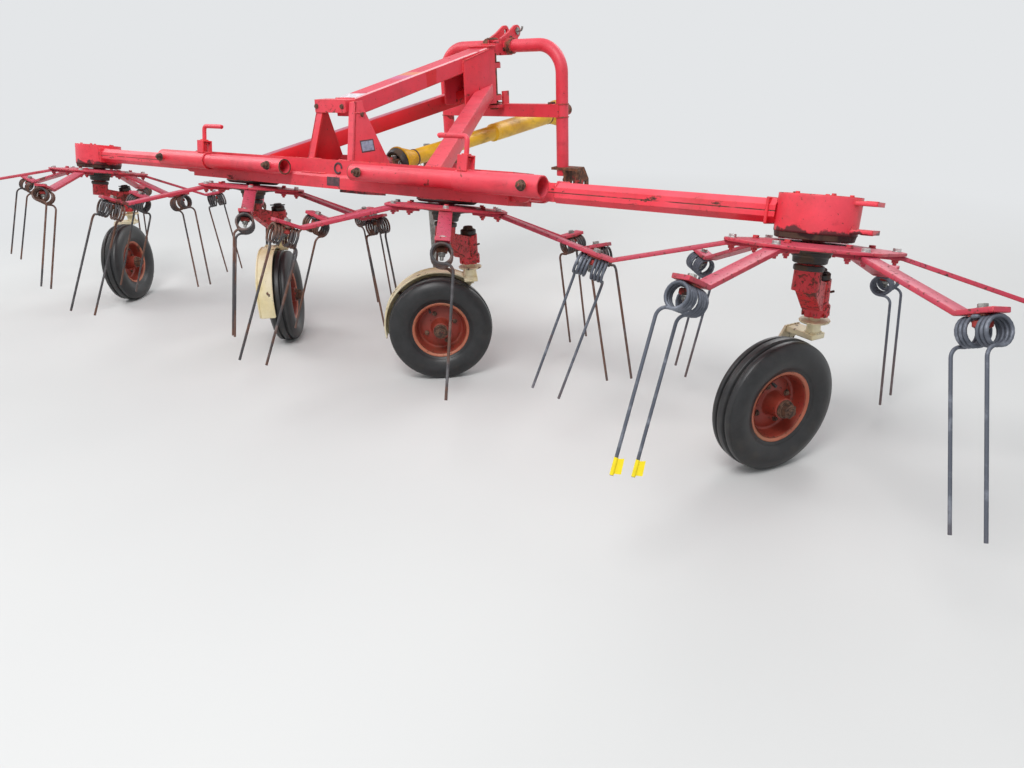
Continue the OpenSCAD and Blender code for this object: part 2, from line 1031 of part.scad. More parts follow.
link_y = hoop_y + 40;

module link_bracket(side) {
  x_mid = side * link_spread / 2;
  difference() {
    union() {
      for (s = [-1, 1])
        translate([x_mid + s * 32 - 6, 0, 0])
          plate_yz(0, 12)
            polygon([
              [hoop_y - 34, link_height - 34],
              [hoop_y - 34, hoop_foot + 40],
              [hoop_y + 34, hoop_foot + 40],
              [link_y + 36, link_height + 20],
              [link_y + 36, link_height - 34]
            ]);
      translate([side > 0 ? hoop_half - 44 : x_mid - 38,
                 hoop_y - 34, hoop_foot + 28])
        cube([link_spread / 2 - hoop_half + 82, 68, 12]);
    }
    translate([side * hoop_half, hoop_y, hoop_foot])
      cylinder(r = hoop_tube_radius, h = 100);
    translate([x_mid, link_y, link_height]) tube_x(link_hole_radius, -60, 60);
  }
}

module link_bracket_left() {
  color(rust) {
    link_bracket(-1);
    stand_socket();
  }
}

module link_bracket_right() {
  color(rust) link_bracket(1);
}

stand_y = hoop_y - 20;
socket_low = hoop_foot - 20;
socket_high = hoop_foot + 60;
stand_foot_radius = 50;
stand_foot_height = 9;
stand_over = 50;

module stand_socket() {
  difference() {
    union() {
      translate([-stand_x, stand_y, socket_low])
        cylinder(r = stand_radius + 7, h = socket_high - socket_low);
      translate([-stand_x, stand_y - 12, hoop_foot])
        cube([stand_x - link_spread / 2 - 36, 24, 40]);
    }
    translate([-stand_x, stand_y, socket_low - 1])
      cylinder(r = stand_radius + pin_clearance, h = 200);
  }
}

module parking_stand() {
  color(steel) {
    translate([-stand_x, stand_y, 1])
      cylinder(r = stand_radius, h = socket_high + stand_over - 1);
    translate([-stand_x, stand_y, 0])
      cylinder(r = stand_foot_radius, h = stand_foot_height);
  }
}

// Drive shaft.

drive_length = norm([drive_front_y - drive_rear_y, drive_front_z - drive_rear_z]);
small_guard_radius = 34;
shaft_radius = 18;
guard_end = 20;
cone_radius = 66;
cone_wall = 6;
cone_length = 90;
ring_length = 18;
tube_joint = drive_length / 2 + 45;

module guard_cone(large, small, length) {
  rotate([-90, 0, 0]) cylinder(r1 = large, r2 = small, h = length);
}

module at_both_ends() {
  children();
  translate([0, drive_length, 0]) mirror([0, 1, 0]) children();
}

module drive_guard() {
  bore = shaft_radius + cone_wall;
  ring_start = guard_end + cone_length - ring_length;
  color(yellow) on_drive_line() difference() {
    union() {
      translate([0, guard_end, 0])
        guard_cone(cone_radius, small_guard_radius, cone_length);
      rod_y(small_guard_radius, guard_end + cone_length - 10, tube_joint + 60);
      rod_y(guard_radius, tube_joint, drive_length - guard_end - cone_length + 10);
      translate([0, drive_length - guard_end, 0]) mirror([0, 1, 0])
        guard_cone(cone_radius, guard_radius, cone_length);
    }
    rod_y(shaft_radius + pin_clearance, 0, drive_length);
    rod_y(bore, ring_start + ring_length, drive_length - ring_start - ring_length);
    at_both_ends() translate([0, guard_end - 1, 0])
      guard_cone(cone_radius - cone_wall, bore, cone_length - ring_length);
  }
}

module yoke() {
  for (s = [-1, 1])
    translate([s > 0 ? 18 : -30, -34, -20]) cube([12, 68, 40]);
  rod_y(26, 20, 60);
  tube_x(12, -34, 34);
}

module drive_shaft() {
  color(rust) on_drive_line() {
    rod_y(shaft_radius, 20, drive_length - 20);
    rod_y(stub_radius, -88, -40);
    rod_y(30, -54, -20);
    yoke();
    translate([0, drive_length, 0]) mirror([0, 1, 0]) yoke();
    translate([0, drive_length, 0]) difference() {
      rod_y(30, 20, 90);
      rod_y(17.5, 19, 91);
    }
  }
}

in_place() centre_beam();
in_place() tower();
in_place() top_boom();
in_place() brace_left();
in_place() brace_right();
in_place() front_post();
in_place() gearbox();
in_place() housing_inner_left();
in_place() housing_inner_right();
in_place() leg_inner_left();
in_place() leg_inner_right();
in_place() wing_arm_left();
in_place() wing_arm_right();
in_place() housing_outer_left();
in_place() housing_outer_right();
in_place() leg_outer_left();
in_place() leg_outer_right();
in_place() strut_tube_left();
in_place() strut_tube_right();
in_place() strut_case_left();
in_place() strut_case_right();
in_place() rotor_outer_left();
in_place() rotor_inner_left();
in_place() rotor_inner_right();
in_place() rotor_outer_right();
in_place() tines_outer_left();
in_place() tines_inner_left();
in_place() tines_inner_right();
in_place() tines_outer_right();
in_place() castor_outer_left();
in_place() castor_inner_left();
in_place() castor_inner_right();
in_place() castor_outer_right();
in_place() tyre_outer_left();
in_place() tyre_inner_left();
in_place() tyre_inner_right();
in_place() tyre_outer_right();
in_place() rim_outer_left();
in_place() rim_inner_left();
in_place() rim_inner_right();
in_place() rim_outer_right();
in_place() hoop();
in_place() cross_member();
in_place() top_link_bracket();
in_place() swivel_pin();
in_place() link_bracket_left();
in_place() link_bracket_right();
in_place() parking_stand();
in_place() drive_guard();
in_place() drive_shaft();
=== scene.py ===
"""Looks of a hay tedder with four rotors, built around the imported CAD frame.

Metres, X to the machine's right, Y forward, Z up, floor at zero.
"""

import logging
import math
from dataclasses import dataclass, field
from enum import Enum
from typing import Iterable, Optional, Sequence, Union

import bmesh
import bpy
from mathutils import Matrix, Vector

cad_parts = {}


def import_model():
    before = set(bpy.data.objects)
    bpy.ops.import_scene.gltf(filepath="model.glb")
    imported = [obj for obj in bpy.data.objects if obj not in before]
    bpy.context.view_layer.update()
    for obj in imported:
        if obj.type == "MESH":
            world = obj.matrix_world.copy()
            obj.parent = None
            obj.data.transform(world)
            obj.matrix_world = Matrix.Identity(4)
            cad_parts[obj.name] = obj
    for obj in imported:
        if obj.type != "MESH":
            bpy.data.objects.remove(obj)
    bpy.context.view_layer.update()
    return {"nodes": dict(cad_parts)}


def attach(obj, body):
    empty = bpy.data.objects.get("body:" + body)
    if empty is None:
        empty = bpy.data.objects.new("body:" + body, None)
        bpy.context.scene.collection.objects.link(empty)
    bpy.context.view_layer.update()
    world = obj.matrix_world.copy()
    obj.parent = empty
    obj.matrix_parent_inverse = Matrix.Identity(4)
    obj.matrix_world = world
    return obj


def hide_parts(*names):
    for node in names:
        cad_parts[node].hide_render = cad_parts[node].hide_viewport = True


logging.basicConfig(level=logging.INFO, format="%(message)s")
log = logging.getLogger("tedder")

Triple = tuple[float, float, float]
Point = Union[Vector, Triple]
Profile = Sequence[tuple[float, float]]
Ring = list[bmesh.types.BMVert]
Material = bpy.types.Material
NodeTree = bpy.types.NodeTree
NodeSocket = bpy.types.NodeSocket
Operand = Union["Socket", float]

UP = (0.0, 0.0, 1.0)
DOWN = (0.0, 0.0, -1.0)
AHEAD = (0.0, 1.0, 0.0)
BACK = (0.0, -1.0, 0.0)


class Side(Enum):
    """The machine's two sides, with the sign of X."""

    LEFT = -1
    RIGHT = 1


class Hand(Enum):
    """Which way a rotor's tines trail."""

    FORWARD = 1
    BACKWARD = -1


# Nodes and shader maths


def fill(tree: NodeTree, node: bpy.types.Node, inputs: dict) -> bpy.types.Node:
    """Links or sets a node's inputs.

    Args:
        tree: the tree that holds the node.
        node: the node.
        inputs: values or sockets by input name or index.

    Returns:
        The node.
    """
    for key, value in inputs.items():
        value = value.socket if isinstance(value, Socket) else value
        if isinstance(value, NodeSocket):
            tree.links.new(value, node.inputs[key])
        else:
            node.inputs[key].default_value = value
    return node


def add_node(
    tree: NodeTree, kind: str, settings: Optional[dict] = None, inputs: Optional[dict] = None
) -> bpy.types.Node:
    """Adds a node to any tree.

    Args:
        tree: the tree.
        kind: the node's type.
        settings: the node's own settings, set first.
        inputs: values or sockets by input name or index.

    Returns:
        The node.
    """
    node = tree.nodes.new(kind)
    for key, value in (settings or {}).items():
        setattr(node, key, value)
    return fill(tree, node, inputs or {})


@dataclass(frozen=True)
class Socket:
    """A node socket with arithmetic, so that masks read as plain maths."""

    tree: NodeTree
    socket: NodeSocket

    def maths(self, operation: str, *others: Operand, clamp: bool = False) -> "Socket":
        """Adds one Math node.

        Args:
            operation: the Math node's operation.
            others: further operands.
            clamp: whether the result is held between 0 and 1.

        Returns:
            The node's value.
        """
        settings = {"operation": operation, "use_clamp": clamp}
        return Socket(
            self.tree, add_node(self.tree, "ShaderNodeMath", settings, dict(enumerate((self, *others)))).outputs[0]
        )

    def __add__(self, other: Operand) -> "Socket":
        """Sum."""
        return self.maths("ADD", other)

    __radd__ = __add__

    def __sub__(self, other: Operand) -> "Socket":
        """Difference."""
        return self.maths("SUBTRACT", other)

    def __rsub__(self, other: float) -> "Socket":
        """Difference from a number, as the value times -1 plus the number."""
        return self.maths("MULTIPLY_ADD", -1.0, other)

    def __mul__(self, other: Operand) -> "Socket":
        """Product."""
        return self.maths("MULTIPLY", other)

    def clamped(self) -> "Socket":
        """The value held between 0 and 1."""
        return self.maths("ADD", 0.0, clamp=True)

    def over(self, low: float, high: float) -> "Socket":
        """A smooth step from 0 at low to 1 at high.

        Args:
            low: where the step starts.
            high: where it ends; less than low turns the step round.

        Returns:
            The step.
        """
        ends = (1.0, 0.0) if low > high else (0.0, 1.0)
        inputs = {"Value": self, "From Min": min(low, high), "From Max": max(low, high)}
        inputs |= {"To Min": ends[0], "To Max": ends[1]}
        node = add_node(self.tree, "ShaderNodeMapRange", {"interpolation_type": "SMOOTHSTEP"}, inputs)
        return Socket(self.tree, node.outputs["Result"])


Colour = tuple[float, float, float]
Shade = Union[Socket, Colour]


def rgb(red: int, green: int, blue: int) -> Colour:
    """A display colour of 0 to 255 as the linear colour that a shader takes."""

    def one(part: int) -> float:
        """One channel."""
        share = part / 255
        return share / 12.92 if share <= 0.04045 else ((share + 0.055) / 1.055) ** 2.4

    return (one(red), one(green), one(blue))


class Brush:
    """Builds one procedural material."""

    def __init__(self, name: str) -> None:
        """Starts an empty material with a Principled shader.

        Args:
            name: the material's name.
        """
        self.material = bpy.data.materials.new(name)
        self.material.use_nodes = True
        self.tree = self.material.node_tree
        self.tree.nodes.clear()
        self.shader = self.tree.nodes.new("ShaderNodeBsdfPrincipled")
        self.out = add_node(self.tree, "ShaderNodeOutputMaterial", inputs={"Surface": self.shader.outputs[0]})
        self.place = self.node("ShaderNodeTexCoord", output="Object")

    def node(
        self,
        kind: str,
        settings: Optional[dict] = None,
        inputs: Optional[dict] = None,
        output: Union[str, int] = 0,
    ) -> Socket:
        """Adds any node and gives the chosen output."""
        return Socket(self.tree, add_node(self.tree, kind, settings, inputs).outputs[output])

    def noise(
        self,
        scale: float,
        detail: float = 4.0,
        roughness: float = 0.55,
        stretch: Optional[Triple] = None,
        distortion: float = 0.0,
    ) -> Socket:
        """Noise over the piece's own space, about 0.5 in the middle.

        Args:
            scale: features per metre.
            detail: number of finer layers.
            roughness: strength of the finer layers.
            stretch: scale along each axis.
            distortion: warp.

        Returns:
            The noise's value.
        """
        place = self.place
        if stretch:
            place = self.node("ShaderNodeMapping", inputs={"Vector": place, "Scale": stretch})
        sizes = {"Scale": scale, "Detail": detail, "Roughness": roughness, "Distortion": distortion}
        return self.node("ShaderNodeTexNoise", inputs={"Vector": place, **sizes})

    def part(self, vector: Socket, letter: str) -> Socket:
        """One part of a vector: X, Y or Z."""
        return self.node("ShaderNodeSeparateXYZ", inputs={0: vector}, output=letter)

    def axis(self, letter: str) -> Socket:
        """One coordinate in metres: X, Y or Z."""
        return self.part(self.place, letter)

    def normal(self) -> Socket:
        """The surface's true direction."""
        return self.node("ShaderNodeNewGeometry", output="Normal")

    def facing(self, letter: str) -> Socket:
        """One part of the surface's true direction: X, Y or Z."""
        return self.part(self.normal(), letter)

    def dot(self, first: Union[Socket, Triple], second: Union[Socket, Triple]) -> Socket:
        """Dot product of two vectors."""
        return self.node("ShaderNodeVectorMath", {"operation": "DOT_PRODUCT"}, {0: first, 1: second}, "Value")

    def height(self, level: float) -> Socket:
        """Distance over a level, along the rotor axes and counted from the discs' plane."""
        lean = LAYOUT.leaning()
        axis = lean.to_3x3() @ Vector(UP)
        return self.dot(self.place, tuple(axis)) - (lean.translation.dot(axis) + level)

    def rounded(self, radius: float) -> Socket:
        """A normal that rounds sharp edges."""
        return self.node("ShaderNodeBevel", {"samples": 6}, {"Radius": radius})

    def edges(self, radius: float) -> Socket:
        """How near a sharp edge a point lies, from 0 to about 1, within a radius in metres."""
        return (1 - self.dot(self.rounded(radius), self.normal())).over(0.004, 0.16)

    def blend(self, mask: Operand, first: Shade, second: Shade) -> Socket:
        """Mixes two colours: a mask of 0 gives the first and 1 the second."""
        colours = [shade if isinstance(shade, Socket) else (*shade, 1.0) for shade in (first, second)]
        settings = {"data_type": "RGBA", "clamp_factor": True}
        return self.node("ShaderNodeMix", settings, {0: mask, 6: colours[0], 7: colours[1]}, 2)

    def scaled(self, colour: Socket, value: Operand) -> Socket:
        """Multiplies a colour by a value, as light and dark patches."""
        return self.node("ShaderNodeVectorMath", {"operation": "SCALE"}, {0: colour, "Scale": value}, "Vector")

    def bump(self, height: Socket, depth: float, radius: float = 0.0) -> Socket:
        """Relief of 0 to 1 as a new normal of a depth in metres, with edges rounded by a radius."""
        start = {"Normal": self.rounded(radius)} if radius else {}
        return self.node("ShaderNodeBump", inputs={"Height": height, "Distance": depth, "Strength": 1.0, **start})

    def finish(self, **sockets: Operand) -> Material:
        """Sets or links the shader's own sockets, named with _ for a space."""
        names = {key: key.replace("_", " ").title().replace("Ior", "IOR") for key in sockets}
        fill(self.tree, self.shader, {names[key]: value for key, value in sockets.items()})
        return self.material


# Finishes


@dataclass(frozen=True)
class RedPaint:
    """Faded red enamel with chalky tops that also carry a painted highlight, bright worn edges, chips and grease."""

    name: str
    body: Colour = rgb(216, 42, 56)
    # Chalky fade colour; on upward faces it also stands for a painted highlight.
    fade: Colour = rgb(226, 92, 108)
    edge: Colour = rgb(234, 74, 52)
    rust: Colour = rgb(104, 58, 42)
    dirt: Colour = rgb(96, 62, 52)
    fading: float = 0.65
    chips: float = 0.75
    grime: float = 0.35
    grease: float = 0.0
    round: float = 0.0022
    foot: float = 0.0
    seam: float = 0.0
    bands: bool = False
    # Whether the left parts get painted shade.
    shelter: bool = False

    def make(self) -> Material:
        """Builds the material.

        Returns:
            The material.
        """
        brush = Brush(self.name)
        broad = brush.noise(3.2, 3.0, 0.6)
        patch = brush.noise(17.0, 5.0, 0.62)
        fine = brush.noise(210.0, 3.0, 0.6)
        streak = brush.noise(38.0, 4.0, 0.6, (0.25, 1.0, 1.0))
        # Upward faces turn paler: partly sun-faded chalky paint, partly painted highlight.
        top_fade_and_highlight = brush.facing("Z").over(-0.2, 0.9)
        chalk_and_highlight = ((broad.over(0.32, 0.68) * 0.55 + top_fade_and_highlight * 0.6) * self.fading).clamped()
        colour = brush.blend(chalk_and_highlight, self.body, self.fade)
        colour = brush.blend(streak.over(0.54, 0.8) * 0.45, colour, rgb(164, 34, 46))
        if self.bands:
            colour = self.repainted(brush, colour, patch)
        # Painted shade on the left parts' inner faces and a painted shadow on the left brace.
        if self.shelter:
            colour = self.sheltered(brush, colour)
        colour = brush.scaled(colour, patch * 0.3 + fine * 0.1 + 0.8)
        edge = brush.edges(0.006)
        worn = edge * patch.over(0.3, 0.62)
        colour = brush.blend(worn * 0.6, colour, self.edge)
        bare = edge * brush.noise(62.0, 4.0, 0.7).over(0.52, 0.62)
        pits = brush.noise(88.0, 6.0, 0.66).over(0.735 - 0.12 * self.chips, 0.76 - 0.1 * self.chips)
        scab = brush.noise(8.5, 6.0, 0.68, distortion=0.4).over(0.69 - 0.08 * self.chips, 0.72 - 0.07 * self.chips)
        rusty = pits * 0.9 + bare * 0.85 + scab * 0.85
        if self.seam:
            off = brush.height(self.seam).maths("ABSOLUTE")
            crack = off.over(0.0022, 0.0008) * streak.over(0.36, 0.46)
            rusty = rusty + crack + off.over(0.02, 0.006) * brush.noise(
                34.0, 6.0, 0.7, (0.4, 1.0, 1.0),
            ).over(0.61, 0.63)
        rusty = rusty.clamped()
        tone = brush.blend(brush.noise(130.0, 3.0).over(0.35, 0.65), self.rust, rgb(58, 38, 34))
        colour = brush.blend(rusty, colour, tone)
        settle = brush.noise(5.5, 6.0, 0.65).over(0.48, 0.76) * self.grime
        colour = brush.blend(settle, colour, self.dirt)
        slick = brush.noise(14.0, 5.0, 0.6, distortion=1.2).over(0.78 - 0.42 * self.grease, 0.84 - 0.36 * self.grease)
        if self.foot:
            slick = slick + (brush.height(self.foot) - patch * 0.09 + 0.04).over(0.012, 0.004)
        if self.foot or self.grease > 0:
            colour = brush.blend(slick.clamped() * 0.9, colour, rgb(40, 30, 30))
        rough = 0.4 + rusty * 0.4 + settle * 0.25 + chalk_and_highlight * 0.1
        relief = (1 - rusty) * 0.6 + patch * 0.25 + fine * 0.15
        normal = brush.bump(relief, 0.0007, self.round)
        return brush.finish(base_color=colour, roughness=rough, normal=normal, specular_ior_level=0.45)

    def repainted(self, brush: Brush, colour: Socket, patch: Socket) -> Socket:
        """The boom's fresh band, its faded patch on top and its bright edge, partly worn paint and partly painted
        highlight.

        Args:
            brush: the material's builder.
            colour: the paint so far.
            patch: noise that roughens the borders.

        Returns:
            The new colour.
        """
        along = brush.axis("Y") + patch * 0.012 + LAYOUT.middle[1]
        top = brush.facing("Z").over(0.45, 0.75)
        fresh = along.over(0.510, 0.516) * along.over(0.582, 0.576) * (1 - top)
        colour = brush.blend(fresh, colour, rgb(205, 22, 34))
        until = along.over(0.515, 0.495) * top
        colour = brush.blend(along.over(0.365, 0.41) * until * 0.8, colour, rgb(196, 104, 142))
        colour = brush.blend(along.over(0.445, 0.455) * until * 0.8, colour, rgb(214, 132, 84))
        # Near-white strip along the top's right edge: partly worn paint, partly painted highlight.
        rubbed_and_highlight = brush.axis("X").over(0.0485, 0.0515) * top * patch.over(0.3, 0.42)
        return brush.blend(rubbed_and_highlight * 0.75, colour, rgb(244, 196, 200))

    def sheltered(self, brush: Brush, colour: Socket) -> Socket:
        """Painted shade: deep red on the left parts' inner faces, and a grey-purple painted shadow on the left brace.

        Args:
            brush: the material's builder.
            colour: the paint so far.

        Returns:
            The new colour.
        """
        place = brush.axis("X")
        # Painted shade: deep red on left faces turned to the middle.
        colour = brush.blend(
            brush.facing("X").over(0.5, 0.7) * place.over(-0.02, -0.03) * 0.9, colour, rgb(206, 20, 32),
        )
        # Painted shadow: grey-purple on the left brace's upper faces.
        return brush.blend(
            brush.facing("Z").over(0.5, 0.7) * place.over(-0.12, -0.135) * 0.8, colour, rgb(150, 80, 104),
        )


@dataclass(frozen=True)
class RustySteel:
    """Bare or burnt steel with several tones of rust."""

    name: str
    dark: Colour = rgb(74, 50, 42)
    light: Colour = rgb(136, 84, 58)
    trace: Colour = rgb(176, 60, 58)
    traces: float = 0.3
    metal: float = 0.25

    def make(self) -> Material:
        """Builds the material.

        Returns:
            The material.
        """
        brush = Brush(self.name)
        mottle = brush.noise(55.0, 6.0, 0.68)
        grain = brush.noise(420.0, 3.0, 0.6)
        colour = brush.blend(mottle.over(0.36, 0.66), self.dark, self.light)
        left = brush.noise(21.0, 5.0, 0.6).over(0.64 - 0.25 * self.traces, 0.67 - 0.22 * self.traces)
        colour = brush.blend(left * 0.9, colour, self.trace)
        colour = brush.scaled(colour, grain * 0.4 + 0.8)
        edge = brush.edges(0.004) * mottle.over(0.35, 0.6)
        colour = brush.blend(edge * 0.4, colour, rgb(150, 128, 112))
        normal = brush.bump(mottle * 0.6 + grain * 0.4, 0.0006, 0.0015)
        rough = 0.72 - edge * 0.25 + grain * 0.1
        return brush.finish(base_color=colour, roughness=rough, metallic=self.metal, normal=normal)


@dataclass(frozen=True)
class SpringSteel:
    """Black oiled spring wire, brown with rust in patches, with bright patches that are partly polished steel and
    partly painted highlight, and polished at its end.
    """

    name: str
    dark: Colour = rgb(74, 72, 74)
    brown: Colour = rgb(104, 74, 62)
    # Colour of the bright patches, partly polished steel and partly painted highlight.
    shine: Colour = rgb(150, 148, 150)
    tips: Colour = rgb(124, 98, 88)
    shining: float = 0.3
    browning: float = 0.5

    def make(self) -> Material:
        """Builds the material.

        Returns:
            The material.
        """
        brush = Brush(self.name)
        mottle = brush.noise(48.0, 5.0, 0.65)
        grain = brush.noise(480.0, 2.0)
        cloud = brush.noise(6.5, 3.0, 0.5) + mottle * 0.3
        colour = brush.blend(
            cloud.over(0.86 - 0.36 * self.browning, 0.98 - 0.34 * self.browning), self.dark, self.brown,
        )
        # Bright patches: partly rubbed, polished steel, partly painted highlight.
        rubbed_and_highlight = brush.noise(24.0, 4.0, 0.6).over(0.5, 0.72) * self.shining
        colour = brush.blend(rubbed_and_highlight, colour, self.shine)
        low = brush.axis("Z").over(0.34, 0.12)
        colour = brush.blend(low * 0.55, colour, self.tips)
        colour = brush.scaled(colour, grain * 0.36 + 0.82)
        rough = 0.5 + mottle * 0.25 - rubbed_and_highlight * 0.2 - low * 0.12
        normal = brush.bump(mottle * 0.5 + grain * 0.5, 0.0003)
        return brush.finish(base_color=colour, roughness=rough, metallic=0.55, normal=normal)


@dataclass(frozen=True)
class Rubber:
    """Black ribbed tyre rubber with fine notches in its grooves and dry dust."""

    name: str
    body: Colour = rgb(13, 14, 16)
    dust: Colour = rgb(92, 82, 68)
    dusting: float = 0.2

    def make(self) -> Material:
        """Builds the material; the piece's own map gives turn and width.

        Returns:
            The material.
        """
        brush = Brush(self.name)
        chart = brush.node("ShaderNodeTexCoord", output="UV")
        across = brush.node("ShaderNodeSeparateXYZ", inputs={0: chart}, output="Y")
        around = brush.node("ShaderNodeSeparateXYZ", inputs={0: chart}, output="X")
        worn = brush.noise(26.0, 5.0, 0.6)
        grain = brush.noise(600.0, 2.0)
        colour = brush.scaled(brush.blend(worn.over(0.3, 0.7), self.body, rgb(30, 30, 32)), grain * 0.3 + 0.85)
        settled = brush.noise(9.0, 6.0, 0.7).over(0.5, 0.74) * self.dusting
        colour = brush.blend(settled, colour, self.dust)
        notch = (around * 132.0).maths("FRACT").over(0.42, 0.5)
        notch = notch * (around * 132.0).maths("FRACT").over(0.66, 0.58)
        groove = ((across - 0.5).maths("ABSOLUTE") - 0.142).maths("ABSOLUTE").over(0.034, 0.018)
        line = ((across - 0.5).maths("ABSOLUTE") - 0.36).maths("ABSOLUTE").over(0.006, 0.003)
        relief = 1 - notch * groove * 0.9 - line * 0.5 + grain * 0.05
        normal = brush.bump(relief, 0.0022)
        rough = 0.34 + settled * 0.45 + worn * 0.16
        return brush.finish(base_color=colour, roughness=rough, normal=normal, specular_ior_level=0.6)


@dataclass(frozen=True)
class CreamPaint:
    """Cream enamel rubbed thin, with rust patches and green and brown stains."""

    name: str
    body: Colour = rgb(222, 206, 158)
    pale: Colour = rgb(233, 222, 190)
    rust: Colour = rgb(112, 74, 58)
    rusting: float = 0.5

    def make(self) -> Material:
        """Builds the material.

        Returns:
            The material.
        """
        brush = Brush(self.name)
        broad = brush.noise(7.0, 4.0, 0.6)
        patch = brush.noise(30.0, 6.0, 0.66)
        fine = brush.noise(260.0, 3.0)
        colour = brush.blend(broad.over(0.35, 0.65), self.body, self.pale)
        colour = brush.scaled(colour, patch * 0.3 + fine * 0.1 + 0.78)
        stain = brush.noise(13.0, 5.0, 0.65).over(0.5, 0.74) * 0.5
        colour = brush.blend(stain, colour, rgb(164, 138, 92))
        bare = brush.noise(11.0, 6.0, 0.66, distortion=0.5).over(
            0.66 - 0.12 * self.rusting, 0.69 - 0.1 * self.rusting,
        )
        bare = (bare + brush.edges(0.004) * patch.over(0.5, 0.62) * 0.9).clamped()
        tone = brush.blend(patch.over(0.4, 0.62), self.rust, rgb(72, 52, 52))
        colour = brush.blend(bare, colour, tone)
        normal = brush.bump((1 - bare) * 0.6 + patch * 0.4, 0.0006, 0.0015)
        return brush.finish(base_color=colour, roughness=0.5 + bare * 0.35, normal=normal)


@dataclass(frozen=True)
class GuardPlastic:
    """Yellow moulded plastic, scuffed and greasy at its ends."""

    name: str
    body: Colour = rgb(232, 184, 22)
    deep: Colour = rgb(196, 142, 18)
    dirt: Colour = rgb(92, 74, 34)
    dirtiness: float = 0.45

    def make(self) -> Material:
        """Builds the material.

        Returns:
            The material.
        """
        brush = Brush(self.name)
        broad = brush.noise(6.0, 4.0, 0.6)
        smear = brush.noise(22.0, 6.0, 0.7, (1.0, 0.35, 1.0))
        fine = brush.noise(320.0, 2.0)
        colour = brush.blend(broad.over(0.35, 0.7), self.body, self.deep)
        grime = smear.over(0.5, 0.72) * self.dirtiness
        colour = brush.blend(grime, colour, self.dirt)
        colour = brush.scaled(colour, fine * 0.14 + 0.93)
        normal = brush.bump(smear * 0.5 + fine * 0.5, 0.0003)
        return brush.finish(base_color=colour, roughness=0.42 + grime * 0.4, normal=normal)


@dataclass(frozen=True)
class Zinc:
    """Zinc plated or galvanised steel with spangle, dull and slightly rusted."""

    name: str
    body: Colour = rgb(168, 168, 164)
    dull: Colour = rgb(120, 120, 116)
    rust: Colour = rgb(120, 80, 56)
    rusting: float = 0.3
    metal: float = 0.75

    def make(self) -> Material:
        """Builds the material.

        Returns:
            The material.
        """
        brush = Brush(self.name)
        spangle = brush.node("ShaderNodeTexVoronoi", inputs={"Vector": brush.place, "Scale": 180.0})
        cloud = brush.noise(30.0, 5.0, 0.6)
        colour = brush.blend(cloud.over(0.35, 0.65), self.body, self.dull)
        colour = brush.scaled(colour, spangle * 0.25 + 0.86)
        spots = brush.noise(46.0, 6.0, 0.7).over(0.66 - 0.16 * self.rusting, 0.7 - 0.14 * self.rusting)
        colour = brush.blend(spots * 0.85, colour, self.rust)
        rough = 0.36 + cloud * 0.16 + spots * 0.3
        normal = brush.bump(cloud * 0.6 + spangle * 0.4, 0.0002, 0.001)
        return brush.finish(base_color=colour, roughness=rough, metallic=self.metal, normal=normal)


@dataclass(frozen=True)
class Grease:
    """Black grease and packed soil."""

    name: str
    body: Colour = rgb(34, 29, 27)
    soil: Colour = rgb(82, 66, 52)
    soiling: float = 0.4

    def make(self) -> Material:
        """Builds the material.

        Returns:
            The material.
        """
        brush = Brush(self.name)
        lump = brush.noise(42.0, 6.0, 0.7)
        fine = brush.noise(240.0, 4.0, 0.6)
        dry = brush.noise(16.0, 5.0).over(0.6 - 0.25 * self.soiling, 0.68 - 0.2 * self.soiling)
        colour = brush.blend(dry * 0.8, self.body, self.soil)
        colour = brush.scaled(colour, fine * 0.5 + 0.75)
        normal = brush.bump(lump * 0.7 + fine * 0.3, 0.0022, 0.002)
        return brush.finish(base_color=colour, roughness=0.36 + dry * 0.45 + lump * 0.1, normal=normal)


@dataclass(frozen=True)
class PlainCover:
    """A blank sticker or plate, faded and scratched."""

    name: str
    body: Colour = rgb(224, 216, 222)
    worn: Colour = rgb(178, 168, 176)
    gloss: float = 0.4

    def make(self) -> Material:
        """Builds the material.

        Returns:
            The material.
        """
        brush = Brush(self.name)
        cloud = brush.noise(60.0, 5.0, 0.65)
        scratch = brush.noise(90.0, 3.0, 0.5, (0.08, 1.0, 1.0)).over(0.62, 0.7)
        colour = brush.blend(cloud.over(0.4, 0.65), self.body, self.worn)
        colour = brush.blend(scratch * 0.4, colour, rgb(120, 110, 112))
        normal = brush.bump(cloud, 0.0002)
        return brush.finish(base_color=colour, roughness=self.gloss + scratch * 0.2, normal=normal)


# Mesh kit


def direction(start: Vector, end: Vector) -> Matrix:
    """A turn that takes Z to the direction from start to end, placed at start."""
    turn = (end - start).normalized().to_track_quat("Z", "Y")
    return Matrix.Translation(start) @ turn.to_matrix().to_4x4()


def moved(at: Matrix, x: float = 0.0, y: float = 0.0, z: float = 0.0) -> Matrix:
    """A frame moved along its own axes."""
    return at @ Matrix.Translation((x, y, z))


def turned(at: Matrix, degrees: float, axis: str = "Z") -> Matrix:
    """A frame turned about one of its own axes."""
    return at @ Matrix.Rotation(math.radians(degrees), 4, axis)


def circle(radius: float, count: int, z: float = 0.0, step: float = 0.0, first: float = 0.0) -> list[Vector]:
    """Points round Z, by a step from the first degrees on, or shared out over a whole turn."""
    angles = [math.radians(first + (step or 360 / count) * k) for k in range(count)]
    return [Vector((radius * math.cos(a), radius * math.sin(a), z)) for a in angles]


def mm(*pairs: tuple[float, float]) -> list[tuple[float, float]]:
    """Points given in millimetres, in metres."""
    return [(a / 1000, b / 1000) for a, b in pairs]


def link(name: str, data: bpy.types.ID) -> bpy.types.Object:
    """Adds an object with its data to the scene."""
    item = bpy.data.objects.new(name, data)
    bpy.context.scene.collection.objects.link(item)
    return item


